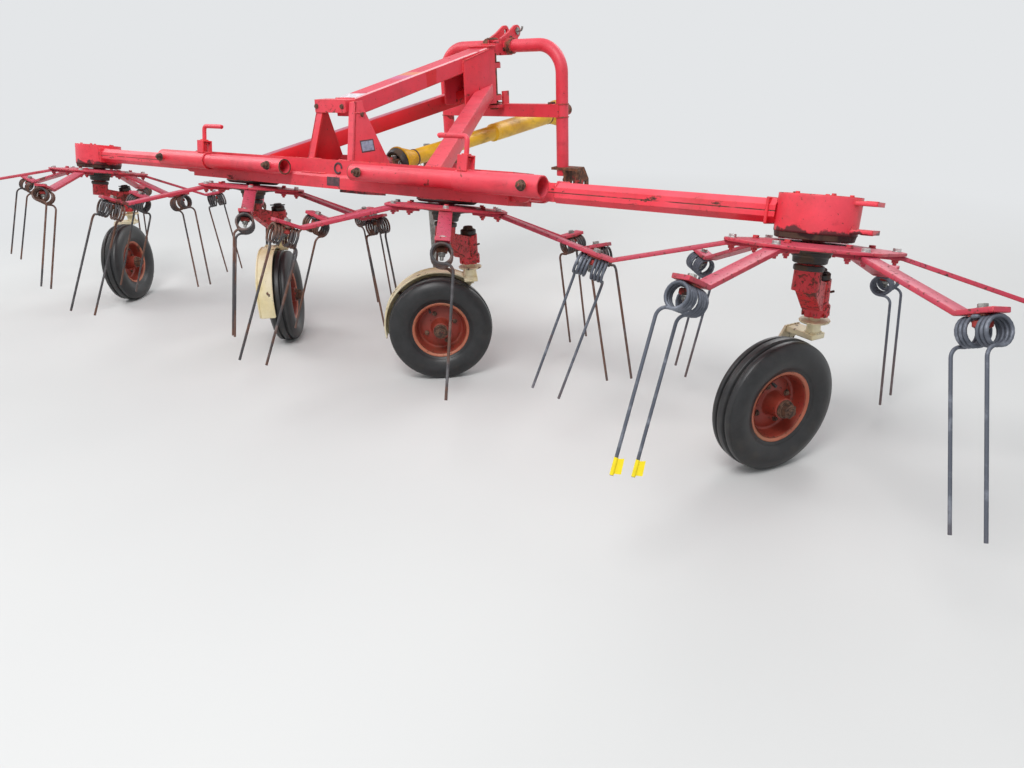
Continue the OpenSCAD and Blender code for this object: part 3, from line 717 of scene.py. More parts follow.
def soften(mesh: bpy.types.Mesh, angle: float) -> None:
    """Shades a mesh smooth with sharp edges kept over an angle in degrees."""
    mesh.polygons.foreach_set("use_smooth", [True] * len(mesh.polygons))
    mesh.set_sharp_from_angle(angle=math.radians(angle))
    mesh.update()


def settle(piece: bpy.types.Object, body: str, slot: str, *replaced: str) -> None:
    """Gives a finished piece its body and hides the CAD nodes that it stands for.

    Args:
        piece: the piece.
        body: the body that it rides on.
        slot: not used.
        replaced: CAD nodes that it stands for.
    """
    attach(piece, body)
    if replaced:
        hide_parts(*replaced)
    log.info("%s rides %s, %d faces", piece.name, body, len(piece.data.polygons))


class Form:
    """Collects the faces of one piece. Every method takes the frame that its sizes are in."""

    def __init__(self) -> None:
        """Starts empty."""
        self.bm = bmesh.new()

    def ring(self, at: Matrix, points: Iterable[Point]) -> Ring:
        """Adds corners and gives them back in order."""
        return [self.bm.verts.new(at @ Vector(point)) for point in points]

    def skin(
        self, rings: list[Ring], closed: bool = False, clockwise: bool = False, caps: Sequence[bool] = (True, True)
    ) -> list[bmesh.types.BMFace]:
        """Joins rings of corners.

        Args:
            rings: rings of equal length.
            closed: whether the last ring joins the first.
            clockwise: whether the corners run clockwise seen from the last ring.
            caps: whether the first and the last ring get a face, when not closed.

        Returns:
            The faces between the rings.
        """
        faces = []
        for low, high in zip(rings, [*rings[1:], rings[0]] if closed else rings[1:]):
            for k, corner in enumerate(low):
                n = (k + 1) % len(low)
                quad = (corner, high[k], high[n], low[n]) if clockwise else (corner, low[n], high[n], high[k])
                faces.append(self.bm.faces.new(quad))
        ends = (rings[0], rings[-1][::-1]) if clockwise else (rings[0][::-1], rings[-1])
        for end, wanted in zip(ends, caps):
            if wanted and not closed:
                self.bm.faces.new(end)
        return faces

    def lathe(self, at: Matrix, profile: Profile, sides: int = 48, closed: bool = False) -> None:
        """Turns a profile of radius and height round Z, closed where its last point joins its first."""
        rings = [self.ring(at, circle(r, sides, z)) for r, z in profile]
        self.skin(rings, closed, caps=(profile[0][0] > 0, profile[-1][0] > 0))

    def rod(self, at: Matrix, radius: float, start: Point, end: Point, sides: int = 16, chamfer: float = 0.0) -> None:
        """Adds a round bar between two points, with chamfered ends.

        Args:
            at: the placing.
            radius: the bar's radius.
            start: one end.
            end: the other end.
            sides: number of faces round.
            chamfer: size of the chamfer.
        """
        a, b = at @ Vector(start), at @ Vector(end)
        long = (b - a).length
        c = min(chamfer, long / 3, radius / 2)
        levels = [(radius - c, 0.0), (radius, c), (radius, long - c), (radius - c, long)]
        self.lathe(direction(a, b), levels if c else [(radius, 0.0), (radius, long)], sides)

    def prism(self, at: Matrix, outline: Profile, depth: float, bevel: float = 0.0) -> None:
        """Extrudes an outline drawn in X and Y up by depth.

        Args:
            at: the placing.
            outline: corners, anticlockwise.
            depth: thickness along Z.
            bevel: inset of the two rims.
        """
        corners = [Vector(corner) for corner in outline]
        levels = [(0.0, bevel), (bevel, 0.0), (depth - bevel, 0.0), (depth, bevel)]
        rings = []
        for z, inset in levels if bevel else [(0.0, 0.0), (depth, 0.0)]:
            ring = []
            for k, here in enumerate(corners):
                before = (here - corners[k - 1]).normalized()
                after = (corners[(k + 1) % len(corners)] - here).normalized()
                inward = Vector((-before.y - after.y, before.x + after.x))
                across = max(0.3, (1 + before.dot(after)) / 2) ** 0.5
                spot = here + inward.normalized() * inset / across if inward.length > 1e-6 else here
                ring.append((spot.x, spot.y, z))
            rings.append(self.ring(at, ring))
        self.skin(rings)

    def slab(self, at: Matrix, outline: Profile, low: float, high: float, bevel: float = 0.0015) -> None:
        """Extrudes an outline drawn in Y and Z along X from low to high."""
        turn = Matrix(((0, 0, 1, low), (1, 0, 0, 0), (0, 1, 0, 0), (0, 0, 0, 1)))
        self.prism(at @ turn, outline, high - low, bevel)

    def box(self, at: Matrix, low: Triple, high: Triple, bevel: float = 0.0015) -> None:
        """Adds a bevelled box between its lowest and its highest corner."""
        b = min(bevel, *((top - bottom) / 4 for bottom, top in zip(low, high)))
        (x0, y0, z0), (x1, y1, z1) = low, high
        cut = [
            (x0 + b, y0), (x1 - b, y0), (x1, y0 + b), (x1, y1 - b), (x1 - b, y1), (x0 + b, y1), (x0, y1 - b),
            (x0, y0 + b),
        ]
        self.prism(moved(at, z=z0), cut, z1 - z0, b)

    def sector(self, at: Matrix, profile: Profile, degrees: float) -> None:
        """Turns a closed profile of radius and height part of the way round Z."""
        section = [(r, 0.0, z) for r, z in profile]
        self.skin([self.ring(turned(at, degrees * k / 40), section) for k in range(41)], clockwise=True)

    def tube(
        self, at: Matrix, path: Sequence[Point], radius: float, sides: int, radii: Optional[Sequence[float]] = None
    ) -> None:
        """Adds a round wire or bar along a path, with closed ends.

        Args:
            at: the placing.
            path: points along the middle.
            radius: radius where radii gives none.
            sides: number of faces round.
            radii: a radius for each point.
        """
        spots = [at @ Vector(point) for point in path]
        still = Matrix.Identity(4)
        side = (spots[1] - spots[0]).normalized().orthogonal().normalized()
        rings = []
        for k, spot in enumerate(spots):
            ahead = (spots[min(k + 1, len(spots) - 1)] - spots[max(k - 1, 0)]).normalized()
            side = (side - ahead * side.dot(ahead)).normalized()
            up = ahead.cross(side)
            section = circle(radii[k] if radii else radius, sides)
            rings.append(self.ring(still, (spot + side * p.x + up * p.y for p in section)))
        self.skin(rings)

    def bolt(self, at: Matrix, head: Point, along: Point, size: float = 0.012, thread: float = 0.0) -> None:
        """Adds a hexagon head on its washer, and a thread's end if asked.

        Args:
            at: the placing.
            head: the middle of the seat.
            along: outward direction.
            size: thread diameter.
            thread: how far the thread stands out of the head.
        """
        seat, out = at @ Vector(head), (at.to_3x3() @ Vector(along)).normalized()
        place = direction(seat, seat + out)
        self.lathe(place, [(size * 1.05, 0.0), (size * 1.05, size * 0.16), (size * 0.98, size * 0.2)], 20)
        base = size * 0.19
        hexagon = [(p.x, p.y) for p in circle(size * 0.9, 6, first=17)]
        self.prism(moved(place, z=base), hexagon, size * 0.66, size * 0.07)
        if thread:
            end = [(size * 0.5, 0.0), (size * 0.5, thread - size * 0.1), (size * 0.4, thread)]
            self.lathe(moved(place, z=base + size * 0.6), end, 14)

    def bead(self, at: Matrix, path: Sequence[Point], radius: float = 0.004, seed: int = 1) -> None:
        """Adds a weld bead along a path, lumpy as it was laid.

        Args:
            at: the placing.
            path: corners of the bead.
            radius: its mean radius.
            seed: number that sets its lumps.
        """
        corners = [at @ Vector(point) for point in path]
        points: list[Vector] = []
        for a, b in zip(corners, corners[1:]):
            steps = max(2, int((b - a).length / (radius * 0.9)))
            points += [a.lerp(b, k / steps) for k in range(steps)]
        points.append(corners[-1])
        lumps = [0.9 + 0.22 * math.sin(k * 2.1 + seed) + 0.1 * math.sin(k * 5.3 * seed) for k in range(len(points))]
        self.tube(Matrix.Identity(4), points, radius, 7, [radius * lump for lump in lumps])

    def mesh(self, name: str, outward: bool = False) -> bpy.types.Mesh:
        """Ends the form as a mesh.

        Args:
            name: the mesh's name.
            outward: whether doubles are joined and the faces turned outward.

        Returns:
            The mesh.
        """
        if outward:
            bmesh.ops.remove_doubles(self.bm, verts=self.bm.verts, dist=1e-5)
            bmesh.ops.recalc_face_normals(self.bm, faces=self.bm.faces)
        mesh = bpy.data.meshes.new(name)
        self.bm.to_mesh(mesh)
        self.bm.free()
        return mesh

    def piece(
        self,
        name: str,
        material: Material,
        body: str,
        slot: str,
        *replaced: str,
        smooth: float = 32.0,
        outward: bool = False,
    ) -> None:
        """Ends the form as a piece on its body.

        Args:
            name: the piece's name.
            material: its finish.
            body: the body that it rides on.
            slot: the record's material slot.
            replaced: CAD nodes that it stands for.
            smooth: angle in degrees under which edges shade smooth.
            outward: whether doubles are joined and the faces turned outward.
        """
        mesh = self.mesh(name, outward)
        mesh.materials.append(material)
        soften(mesh, smooth)
        settle(link(name, mesh), body, slot, *replaced)


class NodeTool:
    """A Geometry Nodes tree that repeats a shape round Z."""

    def __init__(self, name: str, material: Material, wire: float = 0.0) -> None:
        """Builds the tree on an object's mesh, or on its curve with a wire's radius.

        Args:
            name: the tree's name.
            material: the copies' finish.
            wire: radius of the wire swept along a curve, or 0 for a mesh.
        """
        self.tree = bpy.data.node_groups.new(name, "GeometryNodeTree")
        self.keys: dict[str, str] = {}
        face = self.tree.interface
        for way in ("INPUT", "OUTPUT"):
            face.new_socket("Geometry", in_out=way, socket_type="NodeSocketGeometry")
        floats = {"Wire Radius": wire} if wire else {}
        for key, value in {**floats, "First Angle": 0.0, "Step": math.radians(60), "Count": 6}.items():
            kind = "NodeSocketInt" if key == "Count" else "NodeSocketFloat"
            socket = face.new_socket(key, in_out="INPUT", socket_type=kind)
            socket.default_value = value
            self.keys[key] = socket.identifier
        given = self.tree.nodes.new("NodeGroupInput").outputs
        end = self.tree.nodes.new("NodeGroupOutput")
        shape = given["Geometry"]
        if wire:
            section = self.add("GeometryNodeCurvePrimitiveCircle", {"Resolution": 12, "Radius": given["Wire Radius"]})
            shape = self.add("GeometryNodeCurveToMesh", {"Curve": shape, "Profile Curve": section, "Fill Caps": True})
        points = self.add("GeometryNodePoints", {"Count": given["Count"]})
        index = self.add("GeometryNodeInputIndex", {})
        inputs = {0: index, 1: given["Step"], 2: given["First Angle"]}
        angle = add_node(self.tree, "ShaderNodeMath", {"operation": "MULTIPLY_ADD"}, inputs).outputs[0]
        turn = self.add("ShaderNodeCombineXYZ", {"Z": angle})
        ring = self.add("GeometryNodeInstanceOnPoints", {"Points": points, "Instance": shape, "Rotation": turn})
        real = self.add("GeometryNodeRealizeInstances", {0: ring})
        done = self.add("GeometryNodeSetMaterial", {"Geometry": real, "Material": material})
        self.tree.links.new(done, end.inputs[0])

    def add(self, kind: str, inputs: dict) -> NodeSocket:
        """Adds a node and gives its first output."""
        return add_node(self.tree, kind, inputs=inputs).outputs[0]

    def run(
        self, name: str, start: bpy.types.ID, at: Matrix, values: dict[str, float], smooth: float,
    ) -> bpy.types.Object:
        """Runs the tree and keeps the result as a plain mesh.

        Args:
            name: the piece's name.
            start: the mesh or curve data that the tree starts from.
            at: the placing of the result.
            values: input values by name.
            smooth: angle in degrees under which edges shade smooth.

        Returns:
            The plain piece.
        """
        work = link(name + "_work", start)
        modifier = work.modifiers.new("make", "NODES")
        modifier.node_group = self.tree
        for key, value in values.items():
            modifier[self.keys[key]] = value
        graph = bpy.context.evaluated_depsgraph_get()
        mesh = bpy.data.meshes.new_from_object(work.evaluated_get(graph))
        bpy.data.objects.remove(work)
        mesh.name = name
        soften(mesh, smooth)
        mesh.transform(at)
        return link(name, mesh)


def curve_data(name: str, path: Sequence[Vector]) -> bpy.types.Curve:
    """A curve of one straight line spline through given points."""
    curve = bpy.data.curves.new(name, "CURVE")
    curve.dimensions = "3D"
    spline = curve.splines.new("POLY")
    spline.points.add(len(path) - 1)
    for point, spot in zip(spline.points, path):
        point.co = (*spot, 1.0)
    return curve


# Layout of the machine, in metres, as in the CAD source


@dataclass(frozen=True)
class Site:
    """One rotor and the wheel under it."""

    name: str
    x: float
    phase: float
    heading: float
    hand: Hand

    @property
    def side(self) -> Side:
        """Which side of the machine it is on."""
        return Side.LEFT if self.x < 0 else Side.RIGHT

    @property
    def inner(self) -> bool:
        """Whether it is one of the two middle rotors."""
        return self.name.startswith("inner")


SITES = (
    Site("outer_left", -1.8575, 9.5, 33.0, Hand.FORWARD),
    Site("inner_left", -0.5575, 20.5, 42.0, Hand.BACKWARD),
    Site("inner_right", 0.5575, 9.5, -49.0, Hand.FORWARD),
    Site("outer_right", 1.8575, 20.5, -28.0, Hand.BACKWARD),
)


@dataclass(frozen=True)
class Layout:
    """Frames that the pieces are placed in."""

    middle: Triple = (-0.0093, 0.4514, 0.0)
    tilt: float = 11.0
    disc_height: float = 0.690
    beam_rise: float = 0.085
    strut_back: float = 0.120
    strut_up: float = 0.014
    spindle_ahead: float = 0.115
    trail: float = 0.130
    wheel_height: float = 0.205
    drive_rear: Triple = (0.0, 0.330, 0.778)
    drive_front: Triple = (0.0, 1.630, 0.886)

    def machine(self) -> Matrix:
        """From the rotors' middle to the object's origin."""
        return Matrix.Translation(-Vector(self.middle))

    def leaning(self) -> Matrix:
        """Frame on the inner discs' plane, Z along the rotor axes."""
        return turned(moved(self.machine(), z=self.disc_height), -self.tilt, "X")

    def beam(self) -> Matrix:
        """Leaning frame in the middle of the beam."""
        return moved(self.leaning(), z=self.beam_rise)

    def strut(self) -> Matrix:
        """Leaning frame on the locking struts' line."""
        return moved(self.beam(), y=-self.strut_back, z=self.strut_up)

    def rotor(self, site: Site) -> Matrix:
        """Leaning frame on a rotor's disc."""
        return moved(self.leaning(), site.x)

    def castor(self, site: Site) -> Matrix:
        """Upright frame at a castor's spindle, turned to the wheel's heading."""
        return turned(moved(self.machine(), site.x, self.spindle_ahead), site.heading)

    def wheel(self, site: Site) -> Matrix:
        """Frame in a wheel's middle, Z along its axle to the right."""
        return turned(moved(self.castor(site), y=-self.trail, z=self.wheel_height), 90, "Y")

    def drive(self) -> Matrix:
        """Frame at the rear joint, Z along the drive shaft."""
        return self.machine() @ direction(Vector(self.drive_rear), Vector(self.drive_front))

    @property
    def drive_length(self) -> float:
        """Length between the drive shaft's two joints."""
        return (Vector(self.drive_front) - Vector(self.drive_rear)).length


LAYOUT = Layout()


def coat(kind: type, name: str, **looks: Union[float, Colour]) -> Material:
    """A field that holds a finish of a kind, made with the paints."""
    return field(default_factory=lambda: kind(name, **looks).make())


@dataclass
class Paints:
    """All finishes, made once."""

    red: Material = coat(RedPaint, "faded_red")
    # Red with painted shade and a painted shadow on the left parts.
    red_painted_shade: Material = coat(RedPaint, "kept_red", shelter=True)
    # Boom red with its bands; the near-white strip on its top edge is partly painted highlight.
    boom: Material = coat(RedPaint, "boom_red", fade=rgb(208, 74, 96), bands=True)
    wing: Material = coat(
        RedPaint, "arm_faded_red", body=rgb(226, 44, 60), fade=rgb(238, 100, 116), seam=0.085, chips=0.6,
    )
    drum: Material = coat(
        RedPaint, "drum_red", body=rgb(226, 44, 60), fade=rgb(238, 100, 116), fading=0.6, chips=0.85, grime=0.3,
        round=0.009, foot=0.036,
    )
    disc: Material = coat(
        RedPaint, "disc_red", body=rgb(188, 44, 62), fade=rgb(194, 82, 104), chips=1.15, grime=0.45, grease=0.3,
    )
    arm: Material = coat(RedPaint, "arm_red", body=rgb(180, 42, 60), fade=rgb(182, 76, 102), chips=1.2, grime=0.45)
    leg: Material = coat(RedPaint, "leg_red", body=rgb(198, 36, 42), fading=0.25, chips=1.7, grime=0.6)
    gear: Material = coat(RedPaint, "gear_red", body=rgb(150, 36, 44), fading=0.2, chips=0.6, grime=0.8, grease=0.8)
    rim: Material = coat(
        RedPaint, "rim_red", body=rgb(136, 46, 34), fade=rgb(142, 70, 54), edge=rgb(168, 78, 56),
        dirt=rgb(106, 66, 48), rust=rgb(84, 46, 34), chips=1.0, grime=1.0, fading=0.4,
    )
    lip: Material = coat(
        RedPaint, "rim_lip", body=rgb(168, 84, 60), fade=rgb(184, 122, 96), edge=rgb(196, 128, 96),
        dirt=rgb(150, 112, 84), rust=rgb(116, 68, 46), chips=0.9, grime=0.8,
    )
    rusty: Material = coat(RustySteel, "rusty_steel")
    clamp: Material = coat(RustySteel, "rusty_clamp", traces=0.75)
    bolt: Material = coat(Zinc, "worn_bolt", rusting=0.35)
    shiny: Material = coat(Zinc, "clean_bolt", body=rgb(206, 206, 204), dull=rgb(168, 168, 166), rusting=0.05)
    old_bolt: Material = coat(
        RustySteel, "rusty_bolt", dark=rgb(58, 44, 40), light=rgb(112, 80, 62), traces=0.15, metal=0.4,
    )
    zinc: Material = coat(Zinc, "galvanised")
    spring: Material = coat(SpringSteel, "spring_wire", browning=0.75)
    # Grey wire with more bright patches, partly polish and partly painted highlight.
    steel: Material = coat(
        SpringSteel, "grey_wire", dark=rgb(92, 96, 106), brown=rgb(110, 84, 76), shine=rgb(158, 162, 172),
        shining=0.5, browning=0.15,
    )
    # Ochre wire whose bright patches are partly polish and partly painted highlight.
    ochre: Material = coat(
        SpringSteel, "ochre_wire", dark=rgb(150, 112, 62), brown=rgb(186, 146, 92), shine=rgb(214, 184, 128),
        shining=0.6, tips=rgb(196, 166, 112),
    )
    rubber: Material = coat(Rubber, "tyre_rubber")
    cream: Material = coat(CreamPaint, "cream_paint")
    guard: Material = coat(GuardPlastic, "guard_yellow")
    grease: Material = coat(Grease, "grease")
    tape: Material = coat(GuardPlastic, "tape_yellow", body=rgb(246, 226, 24), deep=rgb(236, 208, 20), dirtiness=0.12)
    sticker: Material = coat(PlainCover, "blank_sticker")
    plate: Material = coat(PlainCover, "blank_plate", body=rgb(146, 160, 182), worn=rgb(110, 122, 142), gloss=0.3)
    dark: Material = coat(PlainCover, "dark_patch", body=rgb(64, 46, 50), worn=rgb(92, 58, 64), gloss=0.65)


@dataclass
class Group:
    """Pieces of one sub-assembly and the finishes that they get."""

    paints: Paints


@dataclass
class SiteGroup(Group):
    """Pieces that repeat at each rotor's site."""

    site: Site

    @property
    def carrier(self) -> str:
        """The body that carries the rotor."""
        return "frame" if self.site.inner else "wing_" + self.site.side.name.lower()


# Rotors


@dataclass
class Tines(SiteGroup):
    """Double coil spring tines of one rotor."""

    wire: float = 0.0043
    mean: float = 0.0302
    axis: float = -0.047
    pitch: float = 0.0106
    turns: float = 3.5
    first: float = 0.0050
    last: float = 0.0940
    bend_radius: float = 0.538
    drop: float = 0.085
    rise: float = 15.0
    lean: float = 15.0
    leg: float = 0.368
    bend: float = 0.024
    out: float = 0.012
    loop: float = 0.015
    flag: float = 0.042

    def tab(self) -> Matrix:
        """Frame at an arm's bend, X out along the tab."""
        return turned(Matrix.Translation((self.bend_radius, 0, -self.drop)), -self.rise, "Y")

    def leg_path(self, x: float) -> list[Vector]:
        """One leg, from its tip to the coil's lowest point.

        Args:
            x: the coil's outer end along the tab.

        Returns:
            The points in the tab's frame.
        """
        hand = self.site.hand.value
        hang = turned(Matrix.Translation((x, 0, self.axis - self.mean)), self.rise - self.lean, "Y")
        local = [Vector((0, hand * (self.out + self.bend), -self.bend - self.leg * k / 6)) for k in range(6, 0, -1)]
        for k in range(8):
            a = math.pi / 2 * k / 7
            local.append(
                Vector((0, hand * (self.out + self.bend * math.cos(a)), self.bend * math.sin(a) - self.bend))
            )
        return [hang @ p for p in local]

    def coil_path(self, start: float, way: int) -> list[Vector]:
        """One coil, from its lowest point to the top of its inner end.

        Args:
            start: where it starts along the tab.
            way: 1 or -1 along the tab.

        Returns:
            The points in the tab's frame.
        """
        hand, steps = self.site.hand.value, 18
        points = []
        for k in range(int(self.turns * steps) + 1):
            a = 2 * math.pi * k / steps
            x = start + way * self.pitch * k / steps
            points.append(Vector((x, -hand * self.mean * math.sin(a), self.axis - self.mean * math.cos(a))))
        return points

    def path(self) -> list[Vector]:
        """The whole wire of one tine, in the rotor's frame."""
        hand = self.site.hand.value
        near, far = self.coil_path(self.first, 1), self.coil_path(self.last, -1)[::-1]
        a, b = near[-1], far[0]
        middle, half = (a + b) / 2, (b.x - a.x) / 2
        ease = Vector((0, hand * self.loop * 0.5, 0))
        bridge = []
        for k in range(7):
            t = math.pi * k / 6
            bridge.append(Vector((middle.x - half * math.cos(t), a.y + hand * (self.loop + half * math.sin(t)), a.z)))
        legs = self.leg_path(self.first), self.leg_path(self.last)[::-1]
        tab = self.tab()
        return [tab @ p for p in (*legs[0], *near, a + ease, *bridge, b + ease, *far, *legs[1])]

    def build(self) -> None:
        """Makes the wires, their clamps and the odd coloured ones."""
        name, paints = self.site.name, self.paints
        body = "rotor_" + name
        groups = [("wires_" + name, paints.steel if name == "outer_right" else paints.spring, 0, 6)]
        if name == "outer_left":
            groups = [("wires_" + name, paints.spring, 5, 5), ("odd_wire_" + name, paints.ochre, 4, 1)]
        for title, material, first, count in groups:
            values = {"Count": count, "First Angle": math.radians(self.site.phase + 60 * first)}
            tool = NodeTool("tine_ring", material, self.wire)
            piece = tool.run(title, curve_data(title, self.path()), LAYOUT.rotor(self.site), values, 60)
            settle(piece, body, "spring_steel", "tines_" + name)
        clamps, bolts = Form(), Form()
        mid = (self.first + self.last) / 2
        for n in range(6):
            at = turned(LAYOUT.rotor(self.site), self.site.phase + 60 * n) @ self.tab()
            clamps.box(at, (mid - 0.021, -0.018, -0.0165), (mid + 0.021, 0.018, -0.0120))
            clamps.prism(moved(at, mid, 0, -0.040), mm((-12, -16), (12, -16), (12, 16), (-12, 16)), 0.016, 0.003)
            bolts.bolt(at, (mid, 0, 0), UP, 0.012)
            bolts.bolt(at, (mid, 0, -0.040), DOWN, 0.012, 0.012)
        clamps.piece("tine_clamps_" + name, paints.clamp, body, "rusty_steel")
        bolts.piece("tine_bolts_" + name, paints.bolt, body, "galvanised")
        if name == "outer_right":
            self.tape(body)

    def tape(self, body: str) -> None:
        """Makes the yellow tape flags on the tips of one tine."""
        form = Form()
        still = Matrix.Identity(4)
        at = turned(LAYOUT.rotor(self.site), self.site.phase + 240) @ self.tab()
        side = Vector((0.86, 0.5, 0.06)).normalized()
        for x in (self.first, self.last):
            tip, upper = (at @ p for p in self.leg_path(x)[:2])
            way = (upper - tip).normalized()
            form.tube(still, [tip + way * 0.001, tip + way * self.flag], self.wire + 0.0007, 14)
            out = way.cross(side).normalized() * 0.0007
            low, high = tip + way * 0.004, tip + way * (self.flag - 0.004)
            corners = [low, low + side * 0.021 - way * 0.003, high + side * 0.019, high]
            form.skin([form.ring(still, [c + out for c in corners]), form.ring(still, [c - out for c in corners])])
        form.piece("tine_tape", self.paints.tape, body, "yellow_plastic", outward=True)


@dataclass
class Rotor(SiteGroup):
    """Six cornered disc, flat arms with their tabs and the greasy hub."""

    radius: float = 0.235
    corner: float = 0.250
    root: float = 0.120
    bend: float = 0.538
    drop: float = 0.085
    under: float = 0.0045
    crease: float = 0.226
    rise: float = 15.0
    tab: float = 0.095
    width: float = 0.046
    sheet: float = 0.012
    bevel: float = 0.0016
    bolts_at: tuple[float, float] = (0.212, 0.150)

    def outline(self, angle: float) -> float:
        """Radius of the disc's edge at an angle from the first arm in radians."""
        sixth = math.pi / 3
        off = (angle + sixth / 2) % sixth - sixth / 2
        return min(self.radius, self.corner * math.cos(sixth / 2) / math.cos(sixth / 2 - abs(off)))

    def disc(self, body: str) -> None:
        """Makes the disc, flat at its edge and raised in the middle."""
        form = Form()
        sides = 144
        place = turned(LAYOUT.rotor(self.site), self.site.phase)
        edge = mm((12, -4), (1.6, -4), (0.4, -3.4), (0, -2.2), (0, 2.2), (0.4, 3.4), (1.6, 4), (12, 4.2))
        middle = mm((196, 4.4), (180, 6), (150, 8.4), (124, 10.7), (112, 10.9), (104, 10), (30.6, 10), (30.6, -4))
        rings = []
        for inset, z in edge:
            angles = [2 * math.pi * k / sides for k in range(sides)]
            reach = [(self.outline(a) - inset, a) for a in angles]
            rings.append(form.ring(place, [(r * math.cos(a), r * math.sin(a), z) for r, a in reach]))
        rings += [form.ring(place, circle(r, sides, z)) for r, z in middle]
        form.skin(rings, closed=True)
        form.piece(
            "disc_" + self.site.name, self.paints.disc, body, "red_paint", "rotor_" + self.site.name, smooth=28,
        )

    def arm_path(self) -> list[Triple]:
        """The arm's middle line from root to tip, as distance out, height and slope."""
        near, top = self.crease, -self.under
        slope = math.atan2(self.drop - self.under, self.bend - near)
        long = math.hypot(self.bend - near, self.drop - self.under)
        rise = math.radians(self.rise)
        path = [(self.root, top, 0.0), (self.root + 0.0015, top, 0.0), (near - 0.012, top, 0.0)]
        path += [(near - 0.004 + 0.008 * t, top - 0.0008 * t, -slope * t) for t in (0.0, 0.33, 0.67, 1.0)]
        for share in (0.05, 0.25, 0.5, 0.75, 0.93, 0.972):
            path.append((near + long * share * math.cos(slope), top - long * share * math.sin(slope), -slope))
        for t in (k / 6 for k in range(1, 6)):
            path.append(
                (self.bend + 0.012 * (t - 0.5), -self.drop + 0.0018 * (2 * t - 1) ** 2, -slope + (slope + rise) * t)
            )
        for reach in (self.tab * share for share in (0.075, 0.12, 0.5, 0.9, 0.985, 1.0)):
            path.append((self.bend + reach * math.cos(rise), -self.drop + reach * math.sin(rise), rise))
        return path

    def arm_mesh(self) -> bpy.types.Mesh:
        """One arm along X, a flat bar bent up at its end, in the rotor's frame."""
        form = Form()
        path = self.arm_path()
        rings = []
        for k, (x, z, lean) in enumerate(path):
            inset = 0.0012 if k in (0, len(path) - 1) else 0.0
            half, b, t = self.width / 2 - inset, self.bevel, self.sheet
            section = [
                (-half, -t + b), (-half, -b), (-half + b * 0.35, -b * 0.35), (-half + b, -inset), (half - b, -inset),
                (half - b * 0.35, -b * 0.35), (half, -b), (half, -t + b), (half - b, -t + inset),
                (-half + b, -t + inset),
            ]
            up = Vector((-math.sin(lean), 0, math.cos(lean)))
            rings.append(form.ring(Matrix.Identity(4), [Vector((x, y, z)) + up * d for y, d in section]))
        form.skin(rings, clockwise=True)
        return form.mesh("arm", outward=True)

    def build(self) -> None:
        """Makes the disc, the arms, the hub and the fastenings."""
        name, paints = self.site.name, self.paints
        at, body = LAYOUT.rotor(self.site), "rotor_" + self.site.name
        self.disc(body)
        values = {"First Angle": math.radians(self.site.phase)}
        settle(
            NodeTool("arm_ring", paints.arm).run("arms_" + name, self.arm_mesh(), at, values, 30), body, "red_paint",
        )
        hub = Form()
        profile = mm(
            (30.6, -46), (41, -47), (46, -44), (47.5, -30), (52, -26), (52.5, -18), (70, -14), (98, -11), (104, -4.2),
            (30.6, -4.2),
        )
        hub.lathe(at, profile, 48, True)
        hub.piece("hub_" + name, paints.grease, body, "gear_case", smooth=40)
        bolts, inner = Form(), Form()
        outside, inside = self.bolts_at
        for n in range(6):
            arm = turned(at, self.site.phase + 60 * n)
            bolts.bolt(arm, (outside, 0, 0.0042), UP, 0.0115)
            inner.bolt(arm, (inside, 0, 0.0084), UP, 0.0095)
            for x in self.bolts_at:
                inner.bolt(arm, (x, 0, -self.under - self.sheet), DOWN, 0.0105, 0.007)
        bolts.piece("disc_bolts_" + name, paints.shiny, body, "galvanised")
        inner.piece("painted_bolts_" + name, paints.disc, body, "red_paint")


# Wheels


